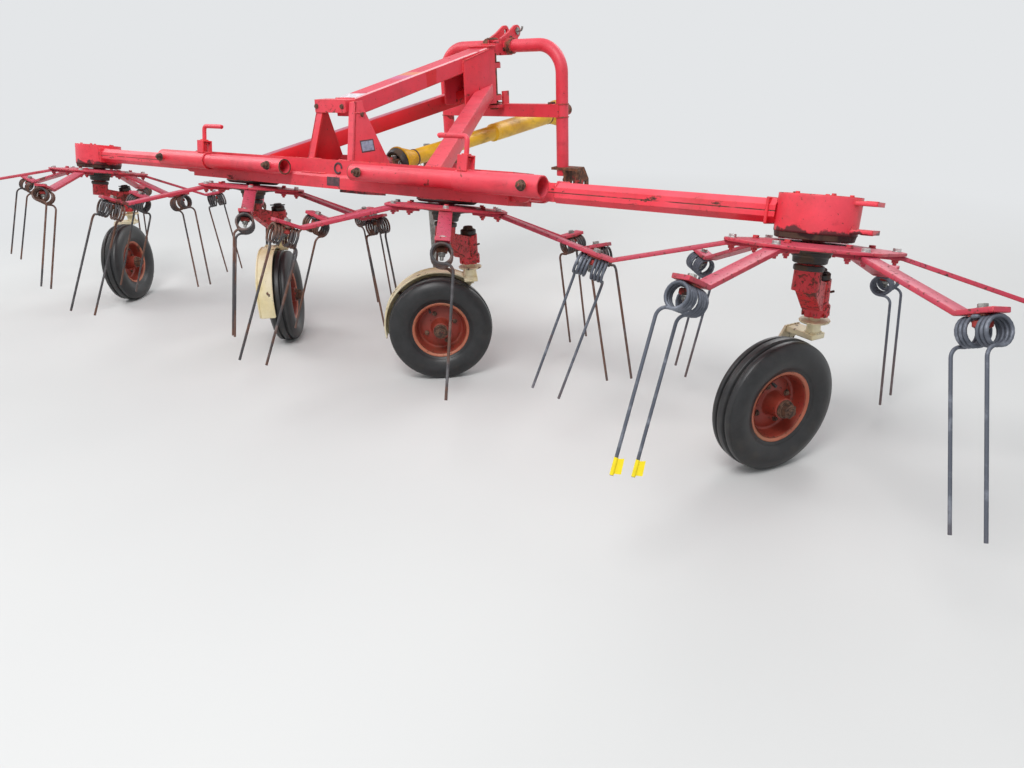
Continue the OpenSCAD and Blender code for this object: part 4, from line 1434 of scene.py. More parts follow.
@dataclass
class Wheel(SiteGroup):
    """Ribbed tyre on a pressed rim with its hub, nut and valve."""

    radius: float = 0.205
    half: float = 0.054
    rim: float = 0.118
    axle: float = 0.01256
    disc: float = -0.014

    def tyre_profile(self) -> list[tuple[float, float]]:
        """Radius and offset of the tyre's skin, from one bead over the tread to the other and back inside."""
        rim, r, h = self.rim, self.radius, self.half
        side = [
            (-0.006, 0.62), (0.002, 0.70), (0.007, 0.80), (0.014, 0.87), (0.024, 0.94), (0.036, 0.99), (0.048, 1.0),
        ]
        tread = [
            (0.032, 0.965), (0.023, 0.91), (0.0155, 0.83), (0.0105, 0.765), (0.0065, 0.70), (0.0042, 0.62),
            (0.003, 0.52), (0.0026, 0.41), (0.0035, 0.385), (0.0085, 0.365), (0.0098, 0.34), (0.0098, 0.25),
            (0.0085, 0.225), (0.0014, 0.20), (0.0004, 0.18), (0.0, 0.10), (0.0, 0.0),
        ]
        half = [(rim + out, share * h) for out, share in side] + [(r - down, share * h) for down, share in tread]
        return half + [(a, -b) for a, b in reversed(half[:-1])] + [(rim - 0.006, -0.5 * h), (rim - 0.0055, 0.5 * h)]

    def build(self) -> None:
        """Makes tyre, rim and fastenings."""
        name, paints = self.site.name, self.paints
        at, body = LAYOUT.wheel(self.site), "wheel_" + self.site.name
        self.tyre(at, body)
        self.rims(at, body)
        nuts = Form()
        for k in range(4):
            nuts.bolt(turned(at, 90 * k + 20), (0.06, 0, self.disc + 0.0062), UP, 0.009, 0.004)
        nuts.piece("wheel_nuts_" + name, paints.old_bolt, body, "rim_paint")
        valve = Form()
        start, end = Vector((0.098, 0, 0.012)), Vector((0.086, 0, 0.041))
        valve.rod(turned(at, 205), 0.0038, start, end, 10)
        valve.rod(turned(at, 205), 0.0052, start.lerp(end, 0.6), start.lerp(end, 1.05), 10, 0.001)
        valve.piece("valve_" + name, paints.rubber, body, "tyre")

    def tyre(self, at: Matrix, body: str) -> None:
        """Makes the tyre with its own map of turn and width.

        Args:
            at: the wheel's frame.
            body: the wheel's body.
        """
        profile = self.tyre_profile()
        sides = 120
        form = Form()
        chart = form.bm.loops.layers.uv.new("turn")
        rings = [form.ring(at, circle(r, sides, z)) for r, z in profile]
        for number, face in enumerate(form.skin(rings, closed=True, clockwise=True)):
            j, k = divmod(number, sides)
            low, high = (0.5 + 0.5 * profile[i % len(profile)][1] / self.half for i in (j, j + 1))
            for loop, u, v in zip(face.loops, (k, k, k + 1, k + 1), (low, high, high, low)):
                loop[chart].uv = (u / sides, v)
        name = self.site.name
        form.piece("tyre_skin_" + name, self.paints.rubber, body, "tyre", "tyre_" + name, smooth=50, outward=True)

    def rims(self, at: Matrix, body: str) -> None:
        """Makes the pressed rim with its dished centre and hub, and its paler lip.

        Args:
            at: the wheel's frame.
            body: the wheel's body.
        """
        name, paints = self.site.name, self.paints
        w, r, c = 0.62 * self.half, self.rim, self.disc
        form, lip = Form(), Form()
        profile = [
            (0.0992, -w + 0.0032), (r - 0.0105, -w - 0.0005), (r - 0.0065, -w), (r - 0.0062, w),
            (r - 0.008, w + 0.0012),
            (r - 0.0115, w + 0.0005), (0.1005, w - 0.004), (0.0985, w - 0.0085), (0.0992, w - 0.0095),
        ]
        lip.lathe(at, profile, 72, True)
        lip.piece("rim_lip_" + name, paints.lip, body, "rim_paint", "rim_" + name, smooth=34)
        profile = [
            (self.axle, -0.046), (0.026, -0.046), (0.028, -0.044), (0.028, c - 0.012), (0.034, c - 0.0095),
            (0.07, c - 0.005), (0.084, c - 0.0042), (0.0905, c - 0.0068), (0.0935, c - 0.011), (0.0945, -w + 0.008),
            (0.099, -w + 0.003), (0.099, w - 0.002), (0.0955, w - 0.0105), (0.0925, 0.008), (0.0915, c + 0.011),
            (0.0885, c + 0.0035), (0.083, c), (0.077, c + 0.0014), (0.068, c + 0.0056), (0.046, c + 0.0066),
            (0.040, c + 0.009), (0.0355, c + 0.016), (0.0335, 0.020), (0.0315, 0.0435), (0.0285, 0.0455),
            (self.axle, 0.0455),
        ]
        form.lathe(at, profile, 72, True)
        form.piece("rim_shell_" + name, paints.rim, body, "rim_paint", "rim_" + name, smooth=34)


@dataclass
class Castor(SiteGroup):
    """Fork, flange, spindle end and, on the inner wheels, the wrap guard."""

    plate_x: float = -0.080
    guard: float = 0.222
    low: float = 0.390
    bar: float = 0.018

    def build(self) -> None:
        """Makes the fork, its trim and the guard's rims."""
        name, paints, x = self.site.name, self.paints, self.plate_x
        at, wheel, body = LAYOUT.castor(self.site), LAYOUT.wheel(self.site), "castor_" + self.site.name
        self.fork(at, wheel).piece("castor_fork_" + name, paints.cream, body, "cream_paint", body, outward=True)
        trim = Form()
        flange = mm((16.5, 441.5), (42.5, 441.5), (44.5, 444.5), (42.5, 447.5), (16.5, 447.5))
        trim.lathe(at, flange, 48, True)
        trim.bead(at, circle(0.021, 25, 0.4095, 15), 0.0032, 2)
        trim.bead(at, circle(0.021, 25, 0.4372, 15), 0.0026, 3)
        trim.bead(at, [(x, -0.025, 0.4085), (x, 0.025, 0.4085)], 0.0035, 5)
        trim.bead(at, [(x + 0.001, -0.025, 0.3895), (x + 0.001, 0.025, 0.3895)], 0.003, 6)
        trim.piece("castor_flange_" + name, paints.cream, body, "cream_paint", outward=True)
        metal = Form()
        metal.bolt(wheel, (0, 0, x - 0.010), DOWN, 0.02, 0.01)
        nut = mm((0, 57.5), (22.5, 57.5), (23.2, 58.5), (23.2, 71.5), (20.5, 73.8), (0, 74.2))
        spacer = mm((12.8, 46.2), (28.5, 46.2), (28.5, 50.2), (26.5, 52.5), (26.5, 57.2), (12.8, 57.2))
        end = mm((0, 73.5), (12.8, 73.5), (12.8, 79.5), (11.2, 81.2), (0, 81.6))
        metal.lathe(wheel, nut, 6)
        metal.lathe(wheel, spacer, 36, True)
        metal.lathe(wheel, end, 20)
        metal.piece("castor_bolts_" + name, paints.old_bolt, body, "rusty_steel")
        cap = Form()
        profile = mm(
            (16.2, 571.2), (28.5, 571.2), (29.5, 572.5), (29.5, 586), (27, 588.5), (19, 589.5), (18, 599),
            (15.5, 601), (0, 601.5),
        )
        cap.lathe(at, profile, 36)
        cap.rod(at, 0.0026, (-0.034, 0.006, 0.5945), (0.034, -0.006, 0.5945), 8)
        cap.piece("spindle_cap_" + name, paints.grease, body, "rusty_steel", outward=True)
        if self.site.inner:
            self.guard_rims(turned(wheel, 140), body)

    def fork(self, at: Matrix, wheel: Matrix) -> Form:
        """The spindle, neck, bar, side plate and axle, and the guard's sheet.

        Args:
            at: the castor's frame.
            wheel: the wheel's frame.

        Returns:
            The form.
        """
        form = Form()
        x, top = self.plate_x, self.low + self.bar
        form.rod(at, 0.016, (0, 0, 0.400), (0, 0, 0.585), 32, 0.002)
        form.lathe(at, mm((20, 396), (20, 434), (22.5, 438.5), (16.5, 438.5), (16.5, 396)), 40, True)
        form.box(at, (x, -0.026, self.low), (0.022, 0.026, top), 0.002)
        foot = [(p.x - LAYOUT.trail, p.y + LAYOUT.wheel_height) for p in circle(0.034, 13, step=15, first=-180)]
        form.slab(at, [(0.026, top), (-0.026, top), *foot, (0.026, self.low - 0.006)], x - 0.010, x)
        form.rod(wheel, 0.0125, (0, 0, x - 0.008), (0, 0, 0.066), 24, 0.001)
        form.rod(wheel, 0.022, (0, 0, x - 0.0005), (0, 0, -0.050), 32, 0.0015)
        if self.site.inner:
            g, x = self.guard, x - 0.002
            sheet = [
                (0.090, x), (g - 0.010, x), (g - 0.003, x + 0.003), (g, x + 0.011), (g, -0.016), (g - 0.003, -0.016),
                (g - 0.003, x + 0.012), (g - 0.0055, x + 0.0055), (g - 0.011, x + 0.003), (0.090, x + 0.003),
            ]
            form.sector(turned(wheel, 140), sheet, 140)
        return form

    def guard_rims(self, at: Matrix, body: str) -> None:
        """Makes the rolled edges and stiffening ribs of the wrap guard.

        Args:
            at: the guard's frame.
            body: the castor's body.
        """
        form = Form()
        for radius, z, start, wire in (
            (self.guard - 0.0025, -0.0165, 1, 0.0036),
            (self.guard - 0.0015, self.plate_x + 0.001, 1, 0.0042),
            (0.155, self.plate_x - 0.0022, 8, 0.0032),
            (0.092, self.plate_x - 0.001, 2, 0.0036),
        ):
            form.tube(at, circle(radius, 37, z, (140 - 2 * start) / 36, start), wire, 8)
        form.piece("guard_rims_" + self.site.name, self.paints.cream, body, "cream_paint")


@dataclass
class Leg(SiteGroup):
    """Trim of the post, arm and spindle clamp under a rotor."""

    def build(self) -> None:
        """Makes the cap, bolts, weld beads and grease nipple."""
        name, paints, body = self.site.name, self.paints, self.carrier
        place = moved(LAYOUT.machine(), self.site.x, LAYOUT.spindle_ahead)
        dark = Form()
        profile = mm((37, -67), (39.5, -66), (41.2, -62), (41.2, -56), (40.5, -52), (37, -51))
        dark.lathe(LAYOUT.rotor(self.site), profile, 40)
        dark.piece("leg_collar_" + name, paints.grease, body, "gear_case", outward=True)
        welds = Form()
        welds.bead(place, circle(0.0335, 31, 0.494, 12), 0.0032, 3)
        for x in (-0.027, 0.027):
            welds.bead(place, [(x, -0.026, 0.487), (x, -0.022, 0.563)], 0.0032, 4)
        welds.piece("leg_welds_" + name, paints.leg, body, "red_paint")
        bolts = Form()
        for z in (0.515, 0.548):
            bolts.bolt(place, (0.0, 0.0325, z), AHEAD, 0.010, 0.004)
        bolts.rod(place, 0.0035, (0.0315, 0.01, 0.532), (0.0425, 0.013, 0.536), 10, 0.001)
        bolts.piece("leg_bolts_" + name, paints.old_bolt, body, "rusty_steel")


# Frame and wings


@dataclass
class Beam(Group):
    """Trim of the middle beam, its hinges and strut bolts."""

    hinge: float = 0.930
    depth: float = 0.124
    height: float = 0.110
    strut: float = 0.258

    def build(self) -> None:
        """Makes bolts, pins, weld beads and marks."""
        at = LAYOUT.beam()
        deep, high = self.depth / 2, self.height / 2
        old, welds, marks = Form(), Form(), Form()
        for s in (side.value for side in Side):
            x = s * self.hinge
            old.bolt(at, (x, -deep - 0.008, 0), BACK, 0.020)
            old.bolt(at, (x, deep + 0.008, 0), AHEAD, 0.020)
            old.rod(at, 0.0022, (x - 0.004, deep + 0.0045, -0.022), (x + 0.004, deep + 0.0045, 0.022), 8)
            old.bolt(at, (s * self.strut, -LAYOUT.strut_back - 0.038, LAYOUT.strut_up), BACK, 0.017, 0.012)
            welds.bead(at, [(s * 0.884, -deep - 0.001, z) for z in (0.052, 0.012)], 0.004, 2)
            welds.bead(at, [(s * x, -deep + 0.003, high) for x in (0.12, 0.05)], 0.0035, 3)
        runs = ((-0.86, -0.70), (-0.52, -0.38), (-0.16, -0.02), (0.12, 0.27), (0.44, 0.58), (0.72, 0.86))
        for seed, ends in enumerate(runs, 1):
            welds.bead(at, [(x, -deep - 0.0005, 0.0008) for x in ends], 0.0036, seed)
        ring = [(0.052 + p.x, -deep - 0.0004, 0.024 + p.y) for p in circle(0.019, 22, step=15)]
        marks.tube(at, ring, 0.0042, 8)
        marks.box(at, (0.002, -deep - 0.0129, -0.044), (0.074, -deep - 0.0105, -0.010), 0.0006)
        old.piece("beam_bolts", self.paints.old_bolt, "frame", "rusty_steel")
        welds.piece("beam_welds", self.paints.red, "frame", "red_paint")
        marks.piece("beam_marks", self.paints.dark, "frame", "red_paint")


@dataclass
class Tower(Group):
    """Tower, boom, gussets and braces, with the trim of the post."""

    half: float = 0.110
    top: float = 1.008
    splay: float = 7.0
    ear: float = 0.042
    rim: float = 0.012
    cap_end: float = 0.062
    boom: float = 0.0550
    depth: float = 0.066
    brace: float = 0.064
    root: tuple[float, float] = (0.082, 1.056)
    head: tuple[float, float] = (0.945, 1.220)
    gusset: tuple[float, float] = (0.755, 0.063)

    def web(self, side: Side) -> Matrix:
        """Frame on a column's outer face, its origin at the cap."""
        s = side.value
        return turned(moved(LAYOUT.machine(), s * self.half, 0, self.top), -s * self.splay, "Y")

    def columns(self) -> None:
        """Makes the splayed columns, open to the middle, under their cap."""
        form = Form()
        m, (y, z), low = LAYOUT.machine(), self.root, self.top
        for side in Side:
            rise = self.ear if side is Side.RIGHT else self.rim
            rear, foot = (0.027 + (rise - self.rim) * 0.319, rise), (-0.032, -0.173)
            ear = [(0.075, self.rim)] if side is Side.RIGHT else []
            plate = [foot, (0.1633, -0.207), *ear, (0.075, rise), rear]
            flange = [foot, (foot[0] + 0.009, foot[1] - 0.002), (rear[0] + 0.008, rear[1]), rear]
            for depth, outline in ((0.008, plate), (0.036, flange)):
                form.slab(self.web(side), outline, *sorted((0.0, -side.value * depth)), 0.0012)
        form.slab(m, [(0.020, low), (y, low), (y, z), (0.023, z)], -0.112, self.cap_end, 0.003)
        lug = [(0.046, low), (y - 0.002, low), (y - 0.002, z - 0.010), (0.047, z - 0.010)]
        form.slab(m, lug, self.cap_end - 0.004, 0.0975, 0.002)
        # The tower gets the red with painted shade on its left parts.
        form.piece("tower_frame", self.paints.red_painted_shade, "frame", "red_paint", "tower")

    def beams(self) -> None:
        """Makes the boom with its gussets and the two braces."""
        m, (y0, z0), (y1, z1) = LAYOUT.machine(), self.root, self.head
        form = Form()
        form.slab(m, [(y0, z0 - self.depth), (y1, z1 - self.depth), (y1, z1), (y0, z0)], -self.boom, self.boom, 0.003)
        rear, wide = self.gusset
        for side in Side:
            ends = sorted((side.value * self.boom, side.value * wide))
            form.slab(m, [(rear, 0.985), (y1, 0.975), (y1, 1.214), (rear, 1.170)], *ends)
        form.piece("boom_frame", self.paints.boom, "frame", "red_paint", "top_boom")
        half = self.brace / 2
        corner = [(-half, -half + 0.004), (-half + 0.0012, -half + 0.0012), (-half + 0.004, -half)]
        outline = corner + [(-y, x) for x, y in corner] + [(-x, -y) for x, y in corner] + [(y, -x) for x, y in corner]
        for side in Side:
            start = Vector((side.value * 0.030, y1 + 0.010, 1.0325))
            along = Vector((side.value * 0.482, 0.022, 0.7945)) - start
            flat = math.degrees(math.atan2(along.y, along.x))
            fall = math.degrees(math.atan2(-along.z, math.hypot(along.x, along.y)))
            tube = Form()
            tube.slab(turned(turned(moved(m, *start), flat), fall, "Y"), outline, 0.0, along.length, 0.0)
            name = "brace_" + side.name.lower()
            # The braces get the red with painted shade; the left brace shows the painted shadow.
            tube.piece(name + "_tube", self.paints.red_painted_shade, "frame", "red_paint", name)

    def build(self) -> None:
        """Makes the frame's pieces, bolts, plates, stickers and weld beads."""
        self.columns()
        self.beams()
        m, paints, (y0, z0), (y1, z1) = LAYOUT.machine(), self.paints, self.root, self.head
        bolts, welds = Form(), Form()
        rear, wide = self.gusset
        for side in Side:
            s, web = side.value, self.web(side)
            bolts.bolt(m, (-0.098 if s < 0 else 0.046, 0.0212, 1.031), (0, -1, 0.06), 0.009)
            bolts.bolt(web, (0, 0.058, -0.008), (s, 0, 0), 0.009)
            welds.bead(m, [(s * 0.0555, 0.0825, z) for z in (1.010, 1.052)], 0.004, 2)
            welds.bead(web, [(s * -0.0005, y, -0.0005) for y in (0.026, 0.050, 0.079)], 0.0032, 6)
            welds.bead(m, [(s * self.boom, rear - 0.0005, z) for z in (1.120, 1.168)], 0.0042, 5)
            welds.bead(m, [(s * wide, rear + 0.002, 1.1705), (s * wide, y1 - 0.003, 1.2138)], 0.0032, 7)
        welds.bead(m, [(x, y0 + 0.0005, z0 + 0.0005) for x in (-0.052, 0.052)], 0.0036, 4)
        bolts.piece("tower_bolts", paints.old_bolt, "frame", "rusty_steel")
        welds.piece("tower_welds", paints.red, "frame", "red_paint")
        top, web = turned(moved(m, 0, y0, z0), math.degrees(math.atan2(z1 - z0, y1 - y0)), "X"), self.web(Side.RIGHT)
        for name, at, low, high, bevel, material in (
            ("post_lid", m, (-0.058, 0.940, 1.2242), (0.058, 1.010, 1.2312), 0.0015, paints.red),
            ("boom_sticker", top, (-0.048, 0.014, 0.0), (0.048, 0.074, 0.0006), 0.0002, paints.sticker),
            ("blank_plate", web, (-0.001, 0.026, -0.142), (0.0012, 0.088, -0.106), 0.0006, paints.plate),
            ("blank_plate_edge", web, (-0.001, 0.021, -0.147), (0.0006, 0.093, -0.101), 0.0004, paints.dark),
        ):
            form = Form()
            form.box(at, low, high, bevel)
            form.piece(name, material, "frame", "red_paint")


@dataclass
class Wing(Group):
    """Trim of one wing: arm seam, drum lugs, and the sleeve and latch of its strut."""

    side: Side
    start: float = 1.045
    outer: float = 1.8575
    drum: float = 0.108

    def build(self) -> None:
        """Makes the trim on the wing and on its strut."""
        name, s, paints = self.side.name.lower(), self.side.value, self.paints
        at, body = LAYOUT.beam(), "wing_" + self.side.name.lower()
        drum_at = moved(at, s * self.outer)
        steel = Form()
        lug = [(s * (self.drum + 0.024) + p.x, p.y) for p in circle(0.016, 18)]
        for z in (-0.0440, 0.0405):
            steel.prism(moved(drum_at, z=z), lug, 0.003, 0.0005)
        collar = moved(at, s * (self.outer - self.drum - 0.014))
        steel.box(collar, (-0.0045, -0.0575, -0.0365), (0.0045, 0.0575, 0.0365), 0.004)
        steel.piece("wing_trim_" + name, paints.red, body, "red_paint", outward=True)
        seam = Form()
        ring = mm((-52.5, 16.5), (-34, 33.5), (34, 33.5), (52.5, 16.5))
        seam.bead(at, [(s * (self.start + 0.002), y, z) for y, z in ring], 0.004, 3)
        seam.piece("wing_seam_" + name, paints.red, body, "red_paint")
        bolts = Form()
        for head in circle(0.078, 5, 0.0500, first=20):
            bolts.bolt(drum_at, head, UP, 0.0065)
        bolts.piece("drum_bolts_" + name, paints.drum, body, "red_paint")
        self.strut(name, s)

    def handle(self, x: float, s: int) -> list[Point]:
        """Middle line of the latch pin and its bent handle.

        Args:
            x: where the pin stands.
            s: the side's sign.

        Returns:
            The points in the strut's frame.
        """
        bar: list[Point] = [(x, 0, z) for z in (0.034, 0.104, 0.128)]
        bar += [(x - s * (0.016 - p.x), 0, 0.128 + p.y) for p in circle(0.016, 6, step=15, first=15)]
        ends = ((0.070, 0.144), (0.116, 0.144), (0.124, 0.1428), (0.1262, 0.1418))
        return bar + [(x - s * reach, 0, z) for reach, z in ends]

    def strut(self, name: str, s: int) -> None:
        """Makes the sleeve, latch box, pin and handle on the strut's outer tube.

        Args:
            name: the side's name.
            s: the side's sign.
        """
        at, body, paints = LAYOUT.strut(), "strut_case_" + name, self.paints
        metal = Form()
        metal.bolt(at, (s * 0.996, -0.048, 0), BACK, 0.017, 0.008)
        metal.piece("strut_bolts_" + name, paints.old_bolt, body, "rusty_steel")
        case = Form()
        case.bead(at, [(s * 0.7005, p.x, p.y) for p in circle(0.0335, 20, step=18)], 0.0022, 5)
        long = 0.346
        sleeve = [
            (0.0304, 0.0), (0.0350, 0.0), (0.0360, 0.0010), (0.0360, long - 0.001), (0.0350, long), (0.0304, long),
        ]
        case.lathe(turned(moved(at, s * 0.700), s * 90, "Y"), sleeve, 56, True)
        case.rod(at, 0.012, (s * 0.996, -0.048, 0), (s * 0.996, 0.054, 0), 28, 0.001)
        x, half, wall, low, top = s * 0.732, 0.021, 0.006, 0.031, 0.084
        for y in (-0.023, 0.017):
            case.box(at, (x - half, y, low), (x + half, y + wall, top), 0.001)
        for z0, z1 in ((low, 0.038), (top - wall, top)):
            case.box(at, (x - half, -0.0175, z0), (x + half, 0.0175, z1), 0.0006)
        bar = self.handle(x, s)
        case.tube(at, bar, 0.0088, 16, [0.0088] * (len(bar) - 1) + [0.0072])
        for z in (0.0712, 0.0842):
            washer = mm((8.6, 0), (16.2, 0), (16.8, 1), (16.8, 3), (16, 4), (8.6, 4))
            case.lathe(moved(at, x, z=z), washer, 28, True)
        case.piece("strut_sleeve_" + name, paints.red, body, "red_paint", body, outward=True)
        trim = Form()
        rim = mm((25.2, -1.2), (30.2, -1.2), (30.6, 0), (30.2, 1.2), (25.2, 1.2))
        trim.lathe(turned(moved(at, s * 0.196), 90, "Y"), rim, 40, True)
        trim.piece("strut_end_" + name, paints.old_bolt, "strut_tube_" + name, "rusty_steel", outward=True)


@dataclass
class Gearboxes(Group):
    """Trim of the main gearbox and the drums."""

    def build(self) -> None:
        """Makes flange bolts, filler plug and the drums' greasy rings."""
        bolts = Form()
        for head in circle(0.051, 6, -0.072, first=12):
            bolts.bolt(LAYOUT.drive(), head, UP, 0.007)
        bolts.bolt(LAYOUT.beam(), (0.03, 0.11, 0.080), UP, 0.013)
        bolts.bolt(LAYOUT.beam(), (-0.035, 0.15, 0.080), UP, 0.010)
        bolts.piece("gearbox_bolts", self.paints.old_bolt, "frame", "rusty_steel")
        seams = Form()
        for site in (site for site in SITES if site.inner):
            seam = mm((107.5, 23.5), (110.5, 24.5), (110.5, 27.5), (107.5, 28.5))
            seams.lathe(LAYOUT.rotor(site), seam, 72)
        seams.piece("inner_drum_seams", self.paints.grease, "frame", "gear_case", outward=True)
        for site in SITES:
            ring = Form()
            top = 0.0238 if site.inner else 0.0362
            profile = [
                (0.070, 0.0172), (0.0985, 0.0172), (0.1035, 0.0195), (0.1065, top - 0.0015), (0.1072, top),
                (0.070, top),
            ]
            ring.lathe(LAYOUT.rotor(site), profile, 64, True)
            body = SiteGroup(self.paints, site).carrier
            ring.piece("grease_ring_" + site.name, self.paints.grease, body, "gear_case", outward=True)


# Headstock, drive and stand


@dataclass
class Headstock(Group):
    """Trim of the hoop, its brackets, the swivel and the top link."""

    hoop_y: float = 1.115
    half: float = 0.350
    top: float = 1.225
    swivel: float = 1.050
    link_height: float = 0.600
    link_half: float = 0.4125
    pin_y: float = 1.205
    pin_z: float = 1.290

    def build(self) -> None:
        """Makes clamps, bolts and plates, and the pin."""
        m, y, top, paints = LAYOUT.machine(), self.hoop_y, self.top, self.paints
        clamps, bolts, plates = Form(), Form(), Form()
        band = mm((29.2, -16), (34.5, -16), (36, -14.5), (36, 14.5), (34.5, 16), (29.2, 16))
        for x in (-0.066, 0.066):
            clamps.lathe(turned(moved(m, x, y, top), 90, "Y"), band, 40, True)
            for low, high in ((top - 0.010, top - 0.003), (top + 0.003, top + 0.010)):
                clamps.box(m, (x - 0.016, y + 0.030, low), (x + 0.016, y + 0.058, high))
            bolts.bolt(m, (x, y + 0.045, top + 0.010), UP, 0.010)
            bolts.bolt(m, (x, y + 0.045, top - 0.010), DOWN, 0.010, 0.008)
        for s in (side.value for side in Side):
            for back, rise in ((-0.022, -0.012), (0.034, 0.034)):
                bolts.bolt(m, (s * 0.040, y + back, top + rise), (s, 0, 0), 0.010)
            for z in (self.link_height + 0.062, self.link_height + 0.022):
                for way in (-1, 1):
                    bolts.bolt(m, (s * self.link_half + way * 0.038, y - 0.018, z), (way, 0, 0), 0.011)
            for back in (-0.022, 0.006):
                bolts.bolt(m, (s * 0.296, y + back, 0.966), UP, 0.011)
            for z in (0.966, 0.908):
                collar = mm((28.8, -3), (32.5, -2), (32.5, 2), (28.8, 3))
                clamps.lathe(moved(m, s * self.half, y, z), collar, 32, True)
        for z, r in ((top + 0.0295, 0.032), (0.971, 0.040)):
            cap = [
                (0.0, 0.0), (r, 0.0), (r, 0.004), (r - 0.0015, 0.0055), (0.024, 0.006), (0.022, 0.009), (0.0, 0.0095),
            ]
            plates.lathe(moved(m, 0, self.swivel, z), cap, 40)
        washer = mm((20.5, 0.2), (35, 0.2), (35.5, 1), (35.5, 3.2), (34, 4.2), (20.5, 4.2))
        for z in (1.009, 1.154):
            plates.lathe(moved(m, 0, self.swivel, z), washer, 40, True)
        clamps.piece("hoop_clamps", paints.clamp, "headstock", "rusty_steel")
        bolts.piece("headstock_bolts", paints.old_bolt, "headstock", "rusty_steel")
        plates.piece("swivel_plates", paints.rusty, "headstock", "rusty_steel")
        self.top_pin()

    def top_pin(self) -> None:
        """Makes the top link's pin with its bent handle and linch pin."""
        pin = Form()
        at = moved(LAYOUT.machine(), 0, self.pin_y, self.pin_z)
        handle = [(0.041, 0, 0), (0.056, 0, 0), (0.064, 0.001, 0.003), (0.068, 0.002, 0.011), (0.069, 0.003, 0.020)]
        pin.rod(at, 0.0165, (0.0402, 0, 0), (0.0455, 0, 0), 24, 0.001)
        pin.tube(at, handle, 0.0052, 12)
        pin.rod(at, 0.0118, (-0.056, 0, 0), (-0.0405, 0, 0), 24, 0.002)
        ring = [(-0.0500 - 0.002 * p.y, 0.017 * p.x, 0.0165 * p.y - 0.004) for p in circle(1.0, 25, step=15)]
        pin.tube(at, ring, 0.0018, 8)
        pin.piece("top_link_pin", self.paints.bolt, "headstock", "rusty_steel")


@dataclass
class Drive(Group):
    """Ribbed guard and the greasy joints of the drive shaft."""

    cone: float = 0.066
    small: float = 0.034
    large: float = 0.042
    bore: float = 0.0182
    start: float = 0.020
    long: float = 0.090
    ribs: int = 6

    def skin(self, end: float) -> list[tuple[float, float]]:
        """Outline of a ribbed cone.

        Args:
            end: radius of its narrow end.

        Returns:
            Distance from the wide end and radius, from there to the tube.
        """
        points = [(0.0, self.cone - 0.004), (0.001, self.cone), (0.006, self.cone), (0.0075, self.cone - 0.003)]
        step = (self.long - 0.012) / self.ribs
        for k in range(self.ribs):
            for share, rise in ((0.0, -0.0040), (0.25, 0.0), (0.55, 0.0), (0.8, -0.0040)):
                t = 0.010 + step * (k + share)
                points.append((t, self.cone + (end - self.cone) * t / self.long + rise))
        return points + [(self.long, end)]

    def guard(self, at: Matrix, whole: float, joint: float) -> None:
        """Makes the guard with its two cones, and its dark rings.

        Args:
            at: the drive's frame.
            whole: length between the joints.
            joint: where the two tubes meet.
        """
        small, large, bore = self.small, self.large, self.bore
        near, far = self.start + self.long, whole - self.start
        middle = [
            (small, -0.012), (small + 0.002, -0.010), (small + 0.002, -0.002), (large - 0.001, 0.0), (large, 0.002),
            (large, 0.016), (large - 0.001, 0.018), (large - 0.001, 0.030), (large, 0.032),
        ]
        inner = [
            (self.cone - 0.006, far), (0.024, far - self.long + 0.018), (bore, far - self.long + 0.018),
            (bore, far - self.long), (bore, near), (bore, near - 0.018), (0.024, near - 0.018),
            (self.cone - 0.006, self.start),
        ]
        outer = [(r, self.start + t) for t, r in self.skin(small)] + [(r, joint + t) for r, t in middle]
        outer += [(r, far - t) for t, r in reversed(self.skin(large))]
        shell = Form()
        shell.lathe(at, outer + inner, 72, True)
        shell.piece(
            "guard_shell", self.paints.guard, "frame", "yellow_plastic", "drive_guard", smooth=24, outward=True,
        )
        trim = Form()
        for z, r in ((near + 0.006, small), (far - self.long - 0.014, large)):
            trim.lathe(moved(at, z=z), [(r, 0.0), (r + 0.0022, 0.001), (r + 0.0022, 0.007), (r, 0.008)], 48, True)
        trim.piece("guard_rings", self.paints.dark, "frame", "yellow_plastic", outward=True)

    def build(self) -> None:
        """Makes the guard, its rings and the joints' trim."""
        at, whole = LAYOUT.drive(), LAYOUT.drive_length
        self.guard(at, whole, whole / 2 + 0.045)
        bell = Form()
        profile = mm((42, -6), (50, -8), (56, -2), (60.5, 8), (61.5, 19), (59.5, 20.5), (56, 12), (42, 0))
        bell.lathe(at, profile, 56, True)
        bell.piece("joint_bell", self.paints.grease, "frame", "yellow_plastic", outward=True)
        caps = Form()
        cup = mm((15.5, -4), (15.5, 1.8), (13.5, 3.5), (6, 3.5), (5, 5.2), (0, 5.5))
        lid = mm((13.5, -12), (13.5, 0), (12, 2.2), (0, 2.4))
        for z in (0.0, whole):
            for way in (1, -1):
                caps.lathe(turned(moved(at, way * 0.0302, z=z), 90 * way, "Y"), cup, 28)
            for way in (-1, 1):
                caps.lathe(turned(moved(at, y=way * 0.0335, z=z), -90 * way, "X"), lid, 28)
        caps.piece("joint_caps", self.paints.bolt, "drive", "rusty_steel", outward=True)


